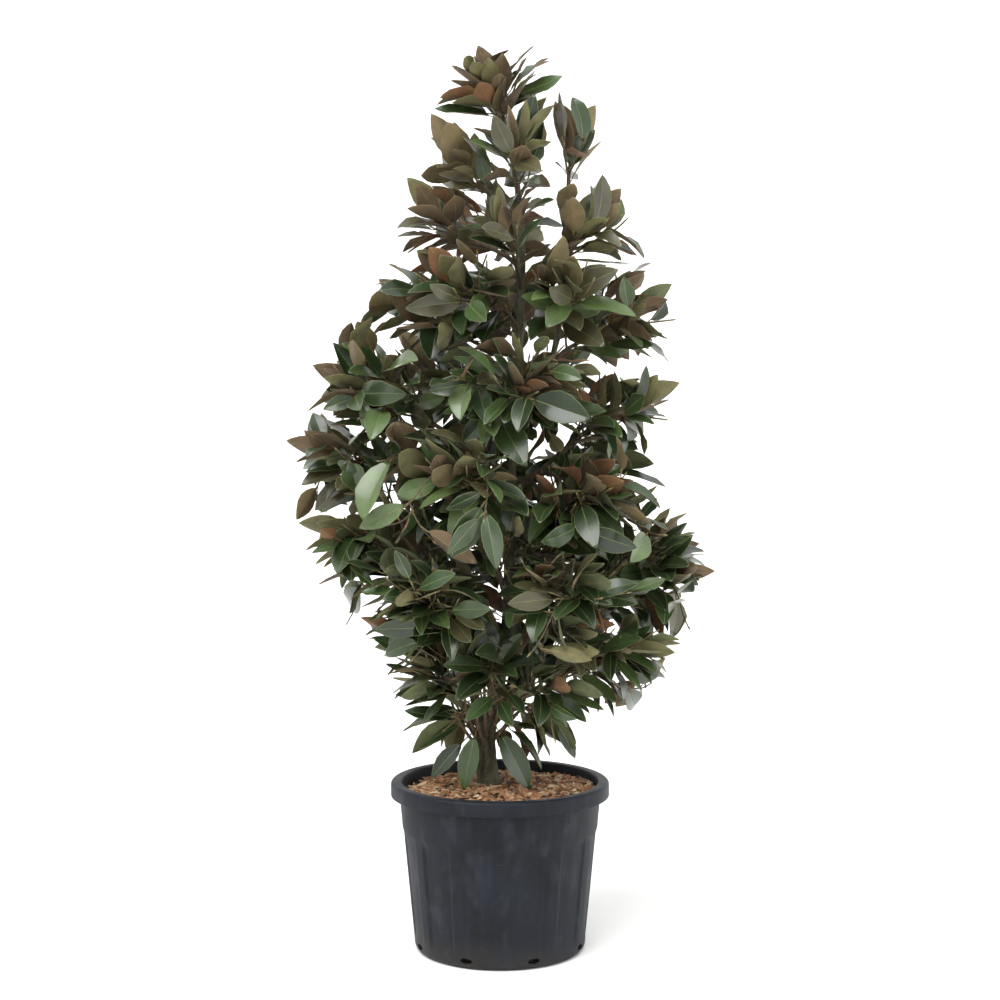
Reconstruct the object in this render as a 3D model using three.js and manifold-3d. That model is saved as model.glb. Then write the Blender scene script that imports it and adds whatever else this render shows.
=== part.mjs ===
// A young evergreen magnolia, 2.46 m tall, growing in a black nursery pot.
//
// Millimetres, +Z up, +X to the right, +Y to the back. The origin is the centre of the
// pot's flat underside. The trunk is cut flat where it enters the mulch, and it forks into
// a leader, a right-hand leader and a left-hand stem. Boughs leave it to carry the lower
// masses of foliage; the higher masses spring from it directly. Each mass is one stem with
// side twigs and leaves, grown by a seeded rule inside a space of its own.

import * as THREE from 'three';
import { mergeVertices } from 'three/addons/utils/BufferGeometryUtils.js';
import Module from 'manifold-3d';

const wasm = await Module();
wasm.setup();

// ---------------------------------------------------------------- driving dimensions

const DEGREE = Math.PI / 180;
const GOLDEN_TURN = 137.508 * DEGREE; // turn from one shoot or leaf to the next
const GAP = 0.3; // between pieces that meet
const CLEARANCE = 1.5; // between foliage and limbs that it doesn't belong to
const CELL_MARGIN = 1.0; // each mass keeps this far inside its own space
const SLIVER = 0.05; // edges shorter than this are closed up after a join or cut
const UP = new THREE.Vector3(0, 0, 1);

const POT = {
  height: 465,
  rimRadius: 300, // outside of the rolled rim
  rimWidth: 30, // flat top of the rim
  skirtDepth: 40, // how far the rolled rim hangs down outside the wall
  lipThickness: 7,
  rimRound: 6, // how far the rim's inner edge is rounded over
  wall: 5,
  floor: 5,
  shoulderRadius: 274, // outside of the wall under the rim
  shoulderHeight: 425,
  heelRadius: 235, // outside of the wall just above the rounded foot
  heelHeight: 24,
  footRadius: 214,
  panelCount: 12, // shallow upright panels between ribs
  panelDepth: 4,
  panelBottom: 40,
  panelTop: 328,
  bandHeight: 336, // plain band from here to the rim
  bandStep: 2,
  lipGroove: 12, // the hollow behind the rolled rim ends this far below its top
  rimTopEase: 7, // rounding at the outer edge of the rim's top
  footRound: [12, 5], // widening and rise of the foot's first rounding
  drainHoles: 8,
  drainWidth: 34,
  drainHeight: 15,
  drainSides: 6,
};

// Corners of one panel's share of the circle, in degrees, and how deep each one lies.
const PANEL_CORNERS = [[0, 0], [8, 0], [9.5, 1], [19, 1], [28.5, 1]];

const GROUND = 450; // top of the mulch at the trunk
const SOIL = {
  seatRadius: 48, // level patch under the trunk
  innerRings: [0.36, 0.68], // places between seat and pot wall
  edgeDrop: 15, // the mulch lies this much lower at the pot wall
  edgeTilt: 8, // and this much higher at front right than at back left
  edgeHighAt: -50 * DEGREE,
  ripple: 4,
  mounds: 5, // humps round the mulch, between the seat and the wall
};

// Way points of the three woody axes: x, y, height and radius.
const LEADER = [
  [-27, 0, GROUND, 33], [-29, 0, 480, 25], [-34, 2, 588, 22], [-10, 6, 713, 20], [16, 6, 850, 18.5],
  [27, -4, 1040, 17], [25, -6, 1233, 15.5], [41, 2, 1451, 13.5], [54, 6, 1696, 11.5],
  [57, -2, 1979, 9], [38, -4, 2130, 7.5], [22, 0, 2205, 6.5],
];
const RIGHT_LEADER = [
  [32, -2, 1345, 11], [62, 4, 1420, 10.5], [128, 10, 1570, 9.5], [164, 8, 1734, 8.5],
  [170, 2, 1900, 7.5], [184, 4, 2045, 6.5],
];
const LEFT_STEM = [
  [-47, -6, GROUND, 17], [-50, -6, 520, 14.5], [-53, -8, 600, 13.5], [-76, -12, 720, 12],
  [-108, -16, 880, 10.5], [-132, -14, 1030, 8.5],
];
const LIMB_SHAPES = { leader: [LEADER, 8, 18], right_leader: [RIGHT_LEADER, 6, 9], left_stem: [LEFT_STEM, 6, 8] };

const LEAF = {
  length: 178,
  lengthSpread: 0.22, // share of the length that varies from leaf to leaf
  halfWidth: 0.22, // share of the length
  shoulders: [0.32, 0.68], // widest places along the blade
  fold: [0.026, 0.03], // rise of the edges above the midrib, as a share of the length
  root: 5, // how much of the shoot one leaf's stalk takes up
  pitch: [44, 68], // degrees away from the shoot
  twist: 0.5, // most that a blade turns about its midrib, in radians
  endFacing: [0.6, 0.8], // how far the outermost leaf of a mass faces up, and sideways
  whorlSpacing: 24, // from one whorl of leaves to the next along a shoot
  sizesTried: [1, 0.86, 0.74], // shares of the full size, until a leaf finds room
};
// A leaf is tested for room with its root drawn in from its shoot by these shares.
const PROBE = { side: 0.2, end: 0.9, sunk: 0.01 };
const NEARLY_ALONG = 0.9; // cosine above which a side can't be measured from an axis

// Each tier of foliage. The tips are [name, azimuth in degrees, reach, height, limb, height
// on that limb]; azimuth 0 is the right, 90 the back, 180 the left and 270 the front.
const TIERS = [
  {
    name: 'low', bough: 0.3, rise: 0, boughRise: 0.34, sideTwigs: 8, twig: 140,
    tips: [
      ['right', -18, 490, 838, 'leader', 668], ['back_right', 50, 430, 790, 'leader', 700],
      ['back_left', 122, 390, 775, 'leader', 640], ['left', 178, 345, 830, 'left_stem', 650],
      ['front_left', 222, 350, 735, 'left_stem', 612, 'direct'], ['front', 264, 310, 790, 'leader', 640],
      ['front_right', 312, 400, 750, 'leader', 622, 'direct'],
    ],
  },
  {
    name: 'belly', bough: 0.28, rise: 8, boughRise: 0.44, sideTwigs: 10, twig: 165,
    tips: [
      ['right', 4, 594, 1037, 'leader', 800], ['back_right', 62, 520, 1090, 'leader', 860],
      ['back_left', 118, 500, 1060, 'leader', 776], ['left', 182, 548, 1174, 'left_stem', 900],
      ['front_left', 236, 470, 1010, 'left_stem', 778], ['front_right', 306, 480, 1050, 'leader', 748],
    ],
  },
  {
    name: 'waist', bough: 0.28, rise: 16, boughRise: 0.46, sideTwigs: 10, twig: 160,
    tips: [
      ['back_right', 30, 450, 1390, 'leader', 1090], ['back', 100, 440, 1370, 'leader', 1030],
      ['left', 178, 585, 1397, 'left_stem', 1000], ['front_left', 246, 420, 1330, 'leader', 965],
      ['front_right', 318, 430, 1300, 'leader', 925],
    ],
  },
  {
    name: 'shoulder', bough: 0.26, rise: 26, boughRise: 0.44, sideTwigs: 10, twig: 150,
    tips: [
      ['right', 2, 490, 1555, 'leader', 1240], ['back_right', 70, 380, 1640, 'leader', 1335, 'direct'],
      ['back_left', 136, 400, 1650, 'leader', 1400, 'direct'], ['left', 187, 506, 1601, 'leader', 1290],
      ['front', 276, 350, 1600, 'leader', 1370, 'direct'],
    ],
  },
  {
    name: 'neck', rise: 38, sideTwigs: 9, twig: 140,
    tips: [
      ['right', 8, 476, 1826, 'right_leader', 1590], ['back', 86, 290, 1850, 'leader', 1640],
      ['left', 176, 331, 1836, 'leader', 1560], ['front_left', 232, 300, 1900, 'leader', 1690],
      ['front_right', 312, 290, 1880, 'right_leader', 1700],
    ],
  },
  {
    name: 'head', rise: 50, sideTwigs: 8, twig: 125,
    tips: [
      ['right', -8, 327, 2073, 'right_leader', 1870], ['back', 100, 240, 2120, 'leader', 1900],
      ['left', 184, 250, 2105, 'leader', 1850], ['front', 268, 210, 2060, 'leader', 1800],
    ],
  },
  {
    name: 'crest', rise: 62, sideTwigs: 7, twig: 105,
    tips: [
      ['right', 12, 265, 2310, 'right_leader', 2045], ['back', 84, 150, 2300, 'leader', 2020],
      ['left', 172, 188, 2282, 'leader', 1985], ['front', 280, 140, 2280, 'leader', 2065],
    ],
  },
  { name: 'top', rise: 70, sideTwigs: 9, twig: 110, tips: [['tip', 176, 59, 2461, 'leader', 2205]] },
  {
    name: 'fork', rise: -38, sideTwigs: 4, twig: 90,
    tips: [['left', 192, 246, 548, 'left_stem', 596], ['right', -14, 216, 560, 'leader', 580]],
  },
];
const CROWN_FOOT = { height: 500, reach: 250 }; // lowest foliage
const CROWN_TOP_REACH = 120;
const HEART_SHARE = 0.55; // a mass's heart lies this far from its foot to its tip
const ROOT_RISE = { over: 26, least: 5, most: 62 }; // climb of a shoot where it leaves a limb, in degrees
const SPRING = 0.38; // how far a shoot holds its first and last direction, as a share of its length
const CARRY = 0.4; // share of its first direction that a bough still has at its end

// Round limbs and twigs: radius at the root and the tip, sides and steps.
const BOUGH = { root: 10.5, tip: 7.5, sides: 6, steps: 4 };
const STEM = { root: 7.2, tip: 3.4, sides: 3, steps: 4, bareFoot: 8, bareLimbRadii: 1.4, mostWhorls: 3 };
const TWIG = {
  root: 3.6,
  tip: 2.8,
  sides: 3,
  lastPlace: 0.92, // the last side twig's place along its stem
  placeSpread: 0.4,
  pitch: [40, 70], // degrees away from the stem
  rollSpread: 0.3,
  lift: 0.3, // how much a twig bends towards the light
  lengthSpread: [0.8, 1.15],
  sharesTried: [1, 0.7, 0.45, 0.3], // shares of its full length, until it finds room
  buried: 0.12, // share of its length inside its stem
  twoWhorlLength: 84, // a longer twig has two whorls of leaves
};
const SEED = 27;

const COLOURS = {
  pot: 0x3c3f44, mulch: 0x8a6a48, bark: 0x4b4234, bough: 0x5a4c3a,
  foliage: [0x44502c, 0x4c4f30, 0x56523a, 0x3f4a2a],
};

// ------------------------------------------------------------------- closed solids

/** Closed solid through rings of equally many corners, with its two ends filled flat. */
function ringGeometry(rings) {
  const count = rings[0].length;
  const faces = [];
  for (let ring = 0; ring < rings.length - 1; ring += 1) {
    for (let k = 0; k < count; k += 1) {
      const here = ring * count + k;
      const next = ring * count + ((k + 1) % count);
      faces.push(here, next, next + count, here, next + count, here + count);
    }
  }
  const last = (rings.length - 1) * count;
  for (let k = 1; k < count - 1; k += 1) {
    faces.push(0, k + 1, k, last, last + k, last + k + 1);
  }
  const geometry = new THREE.BufferGeometry().setFromPoints(rings.flat());
  return geometry.setIndex(faces);
}

/** Solid that can be joined and cut, from a closed geometry. */
function toSolid(geometry) {
  const bare = geometry.clone();
  bare.deleteAttribute('normal');
  bare.deleteAttribute('uv');
  const merged = mergeVertices(bare, 1e-4);
  return new wasm.Manifold(new wasm.Mesh({
    numProp: 3,
    vertProperties: Float32Array.from(merged.attributes.position.array),
    triVerts: Uint32Array.from(merged.index.array),
  }));
}

/** Geometry of a joined or cut solid. */
function toGeometry(solid) {
  const mesh = solid.getMesh();
  const geometry = new THREE.BufferGeometry();
  geometry.setAttribute('position', new THREE.BufferAttribute(mesh.vertProperties, 3));
  geometry.setIndex(new THREE.BufferAttribute(mesh.triVerts, 1));
  geometry.computeVertexNormals();
  return geometry;
}

/** The largest piece of a solid, without slivers: loose scraps and sealed hollows fall away. */
function mainBody(solid) {
  return solid.simplify(SLIVER).decompose().reduce((a, b) => (b.volume() > a.volume() ? b : a));
}

/** Level direction that isn't along an axis, to measure turns round it from. */
function sideFor(axis) {
  return Math.abs(axis.x) < NEARLY_ALONG ? new THREE.Vector3(1, 0, 0) : new THREE.Vector3(0, 1, 0);
}

/** Turns a side direction with a curve, so that it stays square to the axis. */
function squareTo(side, axis) {
  return side.addScaledVector(axis, -side.dot(axis)).normalize();
}

/** Rings of corners round a curve, one at each radius, that turn with the curve. */
function curveRings(curve, radii, sides) {
  const steps = radii.length - 1;
  const side = sideFor(curve.getTangent(0));
  return radii.map((radius, i) => {
    const along = curve.getTangent(i / steps);
    squareTo(side, along);
    const across = new THREE.Vector3().crossVectors(along, side);
    return Array.from({ length: sides }, (_, k) => {
      const turn = (2 * Math.PI * k) / sides;
      return curve.getPoint(i / steps)
        .addScaledVector(side, Math.cos(turn) * radius)
        .addScaledVector(across, Math.sin(turn) * radius);
    });
  });
}

/** Closed tube along a curve that tapers evenly from root to tip, fattened by a margin, as a solid. */
function taperedTube(curve, { root, tip, sides, steps = 1 }, margin = 0) {
  const radii = Array.from({ length: steps + 1 }, (_, i) => THREE.MathUtils.lerp(root, tip, i / steps) + margin);
  return toSolid(ringGeometry(curveRings(curve, radii, sides)));
}

/** Named mesh of a finished solid. */
function partMesh(name, geometry, colour, roughness = 0.8) {
  const mesh = new THREE.Mesh(geometry, new THREE.MeshStandardMaterial({ color: colour, roughness, metalness: 0 }));
  mesh.name = name;
  return mesh;
}

// ------------------------------------------------------------------- pot and mulch

/** Corners round the pot at one height; panel is the share of the panels' depth there. */
function potRing(radius, z, panel = 0) {
  const period = (2 * Math.PI) / POT.panelCount;
  const ring = [];
  for (let n = 0; n < POT.panelCount; n += 1) {
    for (const [degrees, depth] of PANEL_CORNERS) {
      const turn = n * period + degrees * DEGREE;
      const r = radius - panel * depth * POT.panelDepth;
      ring.push(new THREE.Vector3(r * Math.cos(turn), r * Math.sin(turn), z));
    }
  }
  return ring;
}

/** Outside radius of the pot's tapering wall at a height. */
function potWallRadius(z) {
  const share = (z - POT.heelHeight) / (POT.shoulderHeight - POT.heelHeight);
  return THREE.MathUtils.lerp(POT.heelRadius, POT.shoulderRadius, share);
}

/** Inside radius of the pot at a height. */
function potInsideRadius(z) {
  const { floor, wall, panelDepth, panelBottom, panelTop } = POT;
  const profile = [
    [floor, POT.footRadius - wall],
    [panelBottom, potWallRadius(panelBottom) - panelDepth - wall],
    [panelTop, potWallRadius(panelTop) - panelDepth - wall],
    [POT.height - POT.rimRound, POT.rimRadius - POT.rimWidth],
  ];
  const upper = Math.max(1, profile.findIndex((level) => level[0] >= z));
  const [lowZ, lowRadius] = profile[upper - 1];
  const [highZ, highRadius] = profile[upper];
  return THREE.MathUtils.lerp(lowRadius, highRadius, (z - lowZ) / (highZ - lowZ));
}

/** Pot with a rolled rim, ribbed panels, rounded foot and drain holes low in the wall. */
function buildPot() {
  const rimInside = POT.rimRadius - POT.rimWidth;
  const skirtBottom = POT.height - POT.skirtDepth;
  const lipInside = POT.rimRadius - POT.lipThickness;
  const grooveTop = POT.height - POT.lipGroove;
  const panelEase = 1.5 * POT.panelDepth;
  const bandRadius = potWallRadius(POT.bandHeight) + POT.bandStep;
  const rings = [
    potRing(POT.footRadius, 0),
    potRing(POT.footRadius + POT.footRound[0], POT.footRound[1]),
    potRing(POT.heelRadius, POT.heelHeight),
    potRing(potWallRadius(POT.panelBottom), POT.panelBottom),
    potRing(potWallRadius(POT.panelBottom + panelEase), POT.panelBottom + panelEase, 1),
    potRing(potWallRadius(POT.panelTop - panelEase), POT.panelTop - panelEase, 1),
    potRing(potWallRadius(POT.panelTop), POT.panelTop),
    potRing(bandRadius, POT.bandHeight),
    potRing(POT.shoulderRadius + POT.bandStep, POT.shoulderHeight),
    potRing(POT.shoulderRadius + 2 * POT.bandStep, grooveTop),
    potRing(lipInside, grooveTop),
    potRing(lipInside, skirtBottom),
    potRing(POT.rimRadius, skirtBottom),
    potRing(POT.rimRadius, POT.height - POT.rimTopEase),
    potRing(POT.rimRadius - POT.rimTopEase, POT.height),
    potRing(rimInside + POT.rimRound, POT.height),
    ...[POT.height - POT.rimRound, POT.panelTop, POT.panelBottom, POT.floor]
      .map((z) => potRing(potInsideRadius(z), z)),
  ];
  let pot = toSolid(ringGeometry(rings));
  for (let n = 0; n < POT.drainHoles; n += 1) {
    pot = pot.subtract(drainCutter(((n + 0.5) * 2 * Math.PI) / POT.drainHoles));
  }
  return mainBody(pot);
}

/** Plug, longer than the wall is thick, that cuts one drain hole at the rounded foot. */
function drainCutter(turn) {
  const outward = new THREE.Vector3(Math.cos(turn), Math.sin(turn), 0);
  const across = new THREE.Vector3(-Math.sin(turn), Math.cos(turn), 0);
  const ringAt = (distance) => Array.from({ length: POT.drainSides }, (_, k) => {
    const angle = (k * 2 * Math.PI) / POT.drainSides;
    return outward.clone().multiplyScalar(distance)
      .addScaledVector(across, (Math.cos(angle) * POT.drainWidth) / 2)
      .addScaledVector(UP, POT.heelHeight + (Math.sin(angle) * POT.drainHeight) / 2);
  });
  return toSolid(ringGeometry([ringAt(POT.footRadius - POT.wall), ringAt(POT.heelRadius + 2 * POT.wall)]));
}

/** Height of the mulch where it meets the pot wall, in a direction. */
function mulchEdge(turn) {
  const tilt = SOIL.edgeTilt * Math.cos(turn - SOIL.edgeHighAt);
  return GROUND - SOIL.edgeDrop + tilt + (SOIL.ripple / 2) * Math.cos(3 * turn);
}

/** Soil that fills the pot, with a level seat for the trunk and a mulched, uneven top. */
function buildSoil() {
  const sides = [POT.floor, POT.panelBottom, POT.panelTop]
    .map((z) => potRing(potInsideRadius(z) - GAP, z + (z === POT.floor ? GAP : 0)));
  const edge = potRing(1, 0).map((corner) => {
    const z = mulchEdge(Math.atan2(corner.y, corner.x));
    return corner.multiplyScalar(potInsideRadius(z) - 2 * GAP).setZ(z);
  });
  const [footX, footY] = LEADER[0];
  const seat = potRing(SOIL.seatRadius, GROUND - GAP);
  seat.forEach((corner) => corner.add(new THREE.Vector3(footX, footY, 0)));
  const between = [...SOIL.innerRings].reverse().map((share) => edge.map((corner, k) => {
    const point = seat[k].clone().lerp(corner, share);
    const turn = Math.atan2(point.y, point.x);
    return point.setZ(point.z + SOIL.ripple * Math.sin(SOIL.mounds * turn + 2 * Math.PI * share));
  }));
  return toSolid(ringGeometry([...sides, edge, ...between, seat]));
}

// -------------------------------------------------------------------- woody limbs

/** Smooth axis through way points, with its radius at any height. */
class Limb {
  constructor(wayPoints, sides, steps) {
    this.wayPoints = wayPoints;
    this.sides = sides;
    this.steps = steps;
    this.curve = new THREE.CatmullRomCurve3(wayPoints.map(([x, y, z]) => new THREE.Vector3(x, y, z)));
  }

  /** Curve parameter at which the axis passes a height. */
  parameterAt(z) {
    let low = 0;
    let high = 1;
    while (high - low > 1e-9) {
      const middle = (low + high) / 2;
      if (this.curve.getPoint(middle).z < z) low = middle; else high = middle;
    }
    return (low + high) / 2;
  }

  pointAt(z) {
    return this.curve.getPoint(this.parameterAt(z));
  }

  radiusAt(z) {
    const points = this.wayPoints;
    const upper = points.findIndex((point) => point[2] >= z);
    if (upper <= 0) return points[upper < 0 ? points.length - 1 : 0][3];
    const [, , z0, r0] = points[upper - 1];
    const [, , z1, r1] = points[upper];
    return THREE.MathUtils.lerp(r0, r1, (z - z0) / (z1 - z0));
  }

  /** Solid of the limb, fattened by a margin, with its foot cut level. */
  solid(margin = 0) {
    const radii = this.curve.getPoints(this.steps).map((point) => this.radiusAt(point.z) + margin);
    const rings = curveRings(this.curve, radii, this.sides);
    if (this.wayPoints[0][2] === GROUND) rings[0].forEach((corner) => corner.setZ(GROUND));
    return toSolid(ringGeometry(rings));
  }
}

const LIMBS = Object.fromEntries(Object.entries(LIMB_SHAPES).map(([name, shape]) => [name, new Limb(...shape)]));

/** The trunk with its fork: three limbs fused, fattened by a margin when it serves as a cutter. */
function buildTrunk(margin = 0) {
  return wasm.Manifold.union(Object.values(LIMBS).map((limb) => limb.solid(margin)));
}

/** Point at a tip's azimuth, reach and height. */
function tipPoint(azimuth, reach, z) {
  return new THREE.Vector3(reach * Math.cos(azimuth * DEGREE), reach * Math.sin(azimuth * DEGREE), z);
}

/** Curve from one point and direction to another, like a springy shoot. */
function shootCurve(start, startDirection, end, endDirection) {
  const pull = start.distanceTo(end) * SPRING;
  return new THREE.CubicBezierCurve3(start, start.clone().addScaledVector(startDirection, pull),
    end.clone().addScaledVector(endDirection, -pull), end);
}

/** Direction of an azimuth that climbs at an angle. */
function climbing(azimuth, riseDegrees) {
  const rise = riseDegrees * DEGREE;
  return new THREE.Vector3(Math.cos(azimuth) * Math.cos(rise), Math.sin(azimuth) * Math.cos(rise), Math.sin(rise));
}

/** Everything that settles where one mass grows: its bough, its stem and its tip. */
function planMass(tier, tip) {
  const [name, azimuth, reach, z, limbName, limbHeight, direct] = tip;
  const limb = LIMBS[limbName];
  const target = tipPoint(azimuth, reach, z);
  const root = limb.pointAt(limbHeight);
  const isTop = limbHeight >= limb.wayPoints.at(-1)[2];
  const heading = Math.atan2(target.y - root.y, target.x - root.x);
  const leafDirection = climbing(heading, tier.rise);
  const stemEnd = target.clone().addScaledVector(leafDirection, -LEAF.length);
  const plan = { name: `${tier.name}_${name}`, tier, target, leafDirection, stemEnd, bough: null };
  const rootRise = THREE.MathUtils.clamp(tier.rise + ROOT_RISE.over, ROOT_RISE.least, ROOT_RISE.most);
  let start = root;
  let direction = isTop ? limb.curve.getTangent(1) : climbing(heading, rootRise);
  if (tier.bough && !direct) {
    const boughEnd = root.clone().lerp(target, tier.bough);
    boughEnd.z = THREE.MathUtils.lerp(root.z, stemEnd.z, tier.boughRise);
    const arriving = stemEnd.clone().sub(boughEnd).normalize().lerp(direction, CARRY).normalize();
    plan.bough = shootCurve(root, direction, boughEnd, arriving);
    start = boughEnd.clone().addScaledVector(arriving, GAP);
    direction = arriving;
  }
  if (isTop) start = root.clone().addScaledVector(direction, GAP);
  plan.bareLength = STEM.bareFoot + (start === root ? STEM.bareLimbRadii * limb.radiusAt(limbHeight) : 0);
  plan.stem = shootCurve(start, direction, stemEnd, leafDirection);
  plan.heart = start.clone().lerp(target, HEART_SHARE);
  return plan;
}

const PLANS = TIERS.flatMap((tier) => tier.tips.map((tip) => planMass(tier, tip)));

/** Solid of a mass's bough, fattened by a margin. */
function boughTube(plan, margin = 0) {
  return taperedTube(plan.bough, BOUGH, margin);
}

/** Solid of a mass's stem, fattened by a margin. */
function stemTube(plan, margin = 0) {
  return taperedTube(plan.stem, STEM, margin);
}

// ------------------------------------------------------------------------ foliage

/** Small seeded random source, the same on every run. */
function seededRandom(seed) {
  let state = seed >>> 0;
  return () => {
    state = (state + 0x6d2b79f5) >>> 0;
    let mixed = Math.imul(state ^ (state >>> 15), state | 1);
    mixed ^= mixed + Math.imul(mixed ^ (mixed >>> 7), mixed | 61);
    return ((mixed ^ (mixed >>> 14)) >>> 0) / 4294967296;
  };
}

/** Middle height of each tier with its tips' reaches, lowest first, for the crown's outline. */
const OUTLINE = TIERS.filter((tier) => tier.tips.length > 3)
  .map((tier) => ({
    z: tier.tips.reduce((sum, tip) => sum + tip[3], 0) / tier.tips.length,
    spokes: tier.tips.map((tip) => [((tip[1] + 360) % 360) * DEGREE, tip[2]]).sort((a, b) => a[0] - b[0]),
  }));

/** Reach of one tier in a direction, between its two nearest tips. */
function tierReach(spokes, turn) {
  const after = spokes.findIndex((spoke) => spoke[0] > turn);
  const next = spokes[after < 0 ? 0 : after];
  const previous = spokes[((after < 0 ? 0 : after) + spokes.length - 1) % spokes.length];
  const span = (next[0] - previous[0] + 2 * Math.PI) % (2 * Math.PI);
  const share = ((turn - previous[0] + 2 * Math.PI) % (2 * Math.PI)) / span;
  return THREE.MathUtils.lerp(previous[1], next[1], share);
}

const TOP_HEIGHT = Math.max(...PLANS.map((plan) => plan.target.z));

/** How far the crown reaches from its axis at a point's height and direction. */
function crownReach(point) {
  const turn = (Math.atan2(point.y, point.x) + 2 * Math.PI) % (2 * Math.PI);
  const levels = [{ z: CROWN_FOOT.height, reach: CROWN_FOOT.reach },
    ...OUTLINE.map((tier) => ({ z: tier.z, reach: tierReach(tier.spokes, turn) })),
    { z: TOP_HEIGHT, reach: CROWN_TOP_REACH }];
  const upper = levels.findIndex((level) => level.z >= point.z);
  if (upper <= 0) return 0;
  const low = levels[upper - 1];
  const high = levels[upper];
  return THREE.MathUtils.lerp(low.reach, high.reach, (point.z - low.z) / (high.z - low.z));
}

/** Whether all points lie nearer to this mass's heart than to any other's, and in the crown. */
function inOwnSpace(points, plan) {
  return points.every((point) => {
    if (Math.hypot(point.x, point.y) > crownReach(point)) return false;
    return PLANS.every((other) => {
      if (other === plan) return true;
      const apart = other.heart.distanceTo(plan.heart);
      const lead = (point.distanceToSquared(other.heart) - point.distanceToSquared(plan.heart)) / (2 * apart);
      return lead > CELL_MARGIN;
    });
  });
}

/** Direction at a pitch away from an axis, turned round it. */
function awayFrom(axis, pitch, roll) {
  const side = squareTo(sideFor(axis), axis).applyAxisAngle(axis, roll);
  return axis.clone().multiplyScalar(Math.cos(pitch)).addScaledVector(side, Math.sin(pitch)).normalize();
}

/** Corners of a blade: shoulders on the left, tip, shoulders on the right. */
function bladeCorners(root, direction, facing, length) {
  const up = facing.clone().addScaledVector(direction, -facing.dot(direction)).normalize();
  const right = new THREE.Vector3().crossVectors(up, direction);
  const corner = (along, side, lift) => root.clone()
    .addScaledVector(direction, along * length)
    .addScaledVector(right, side * length)
    .addScaledVector(up, lift * length);
  const [near, far] = LEAF.shoulders;
  const [nearFold, farFold] = LEAF.fold;
  return [corner(near, -LEAF.halfWidth, nearFold), corner(far, -LEAF.halfWidth, farFold), corner(1, 0, 0),
    corner(far, LEAF.halfWidth, farFold), corner(near, LEAF.halfWidth, nearFold)];
}

/** Faces of a leaf drawn out of a root: below left, below right, above right, above left. */
function leafFaces([a, b, c, d], [left1, left2, tip, right2, right1]) {
  const faces = [
    a, left1, d, b, c, right1, // sides of the stalk
    d, left1, c, c, left1, right1, left1, left2, right1, right1, left2, right2, left2, tip, right2, // above
    tip, left2, left1, tip, left1, a, tip, b, right1, tip, right1, right2, // below, down to the midrib
  ];
  return a === b ? faces : [...faces, tip, a, b];
}

/** The leaf on its own, its root drawn in by a share, to test whether it has room. */
function leafProbe(rootCorners, blade, drawn = PROBE.side) {
  const middle = rootCorners.reduce((sum, corner) => sum.add(corner), new THREE.Vector3()).divideScalar(4);
  const drawnIn = rootCorners.map((corner) => corner.clone().lerp(middle, drawn).lerp(blade[2], PROBE.sunk));
  const geometry = new THREE.BufferGeometry().setFromPoints([...drawnIn, ...blade]);
  geometry.setIndex([...leafFaces([0, 1, 2, 3], [4, 5, 6, 7, 8]), 0, 3, 2, 0, 2, 1]);
  return toSolid(geometry);
}

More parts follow.
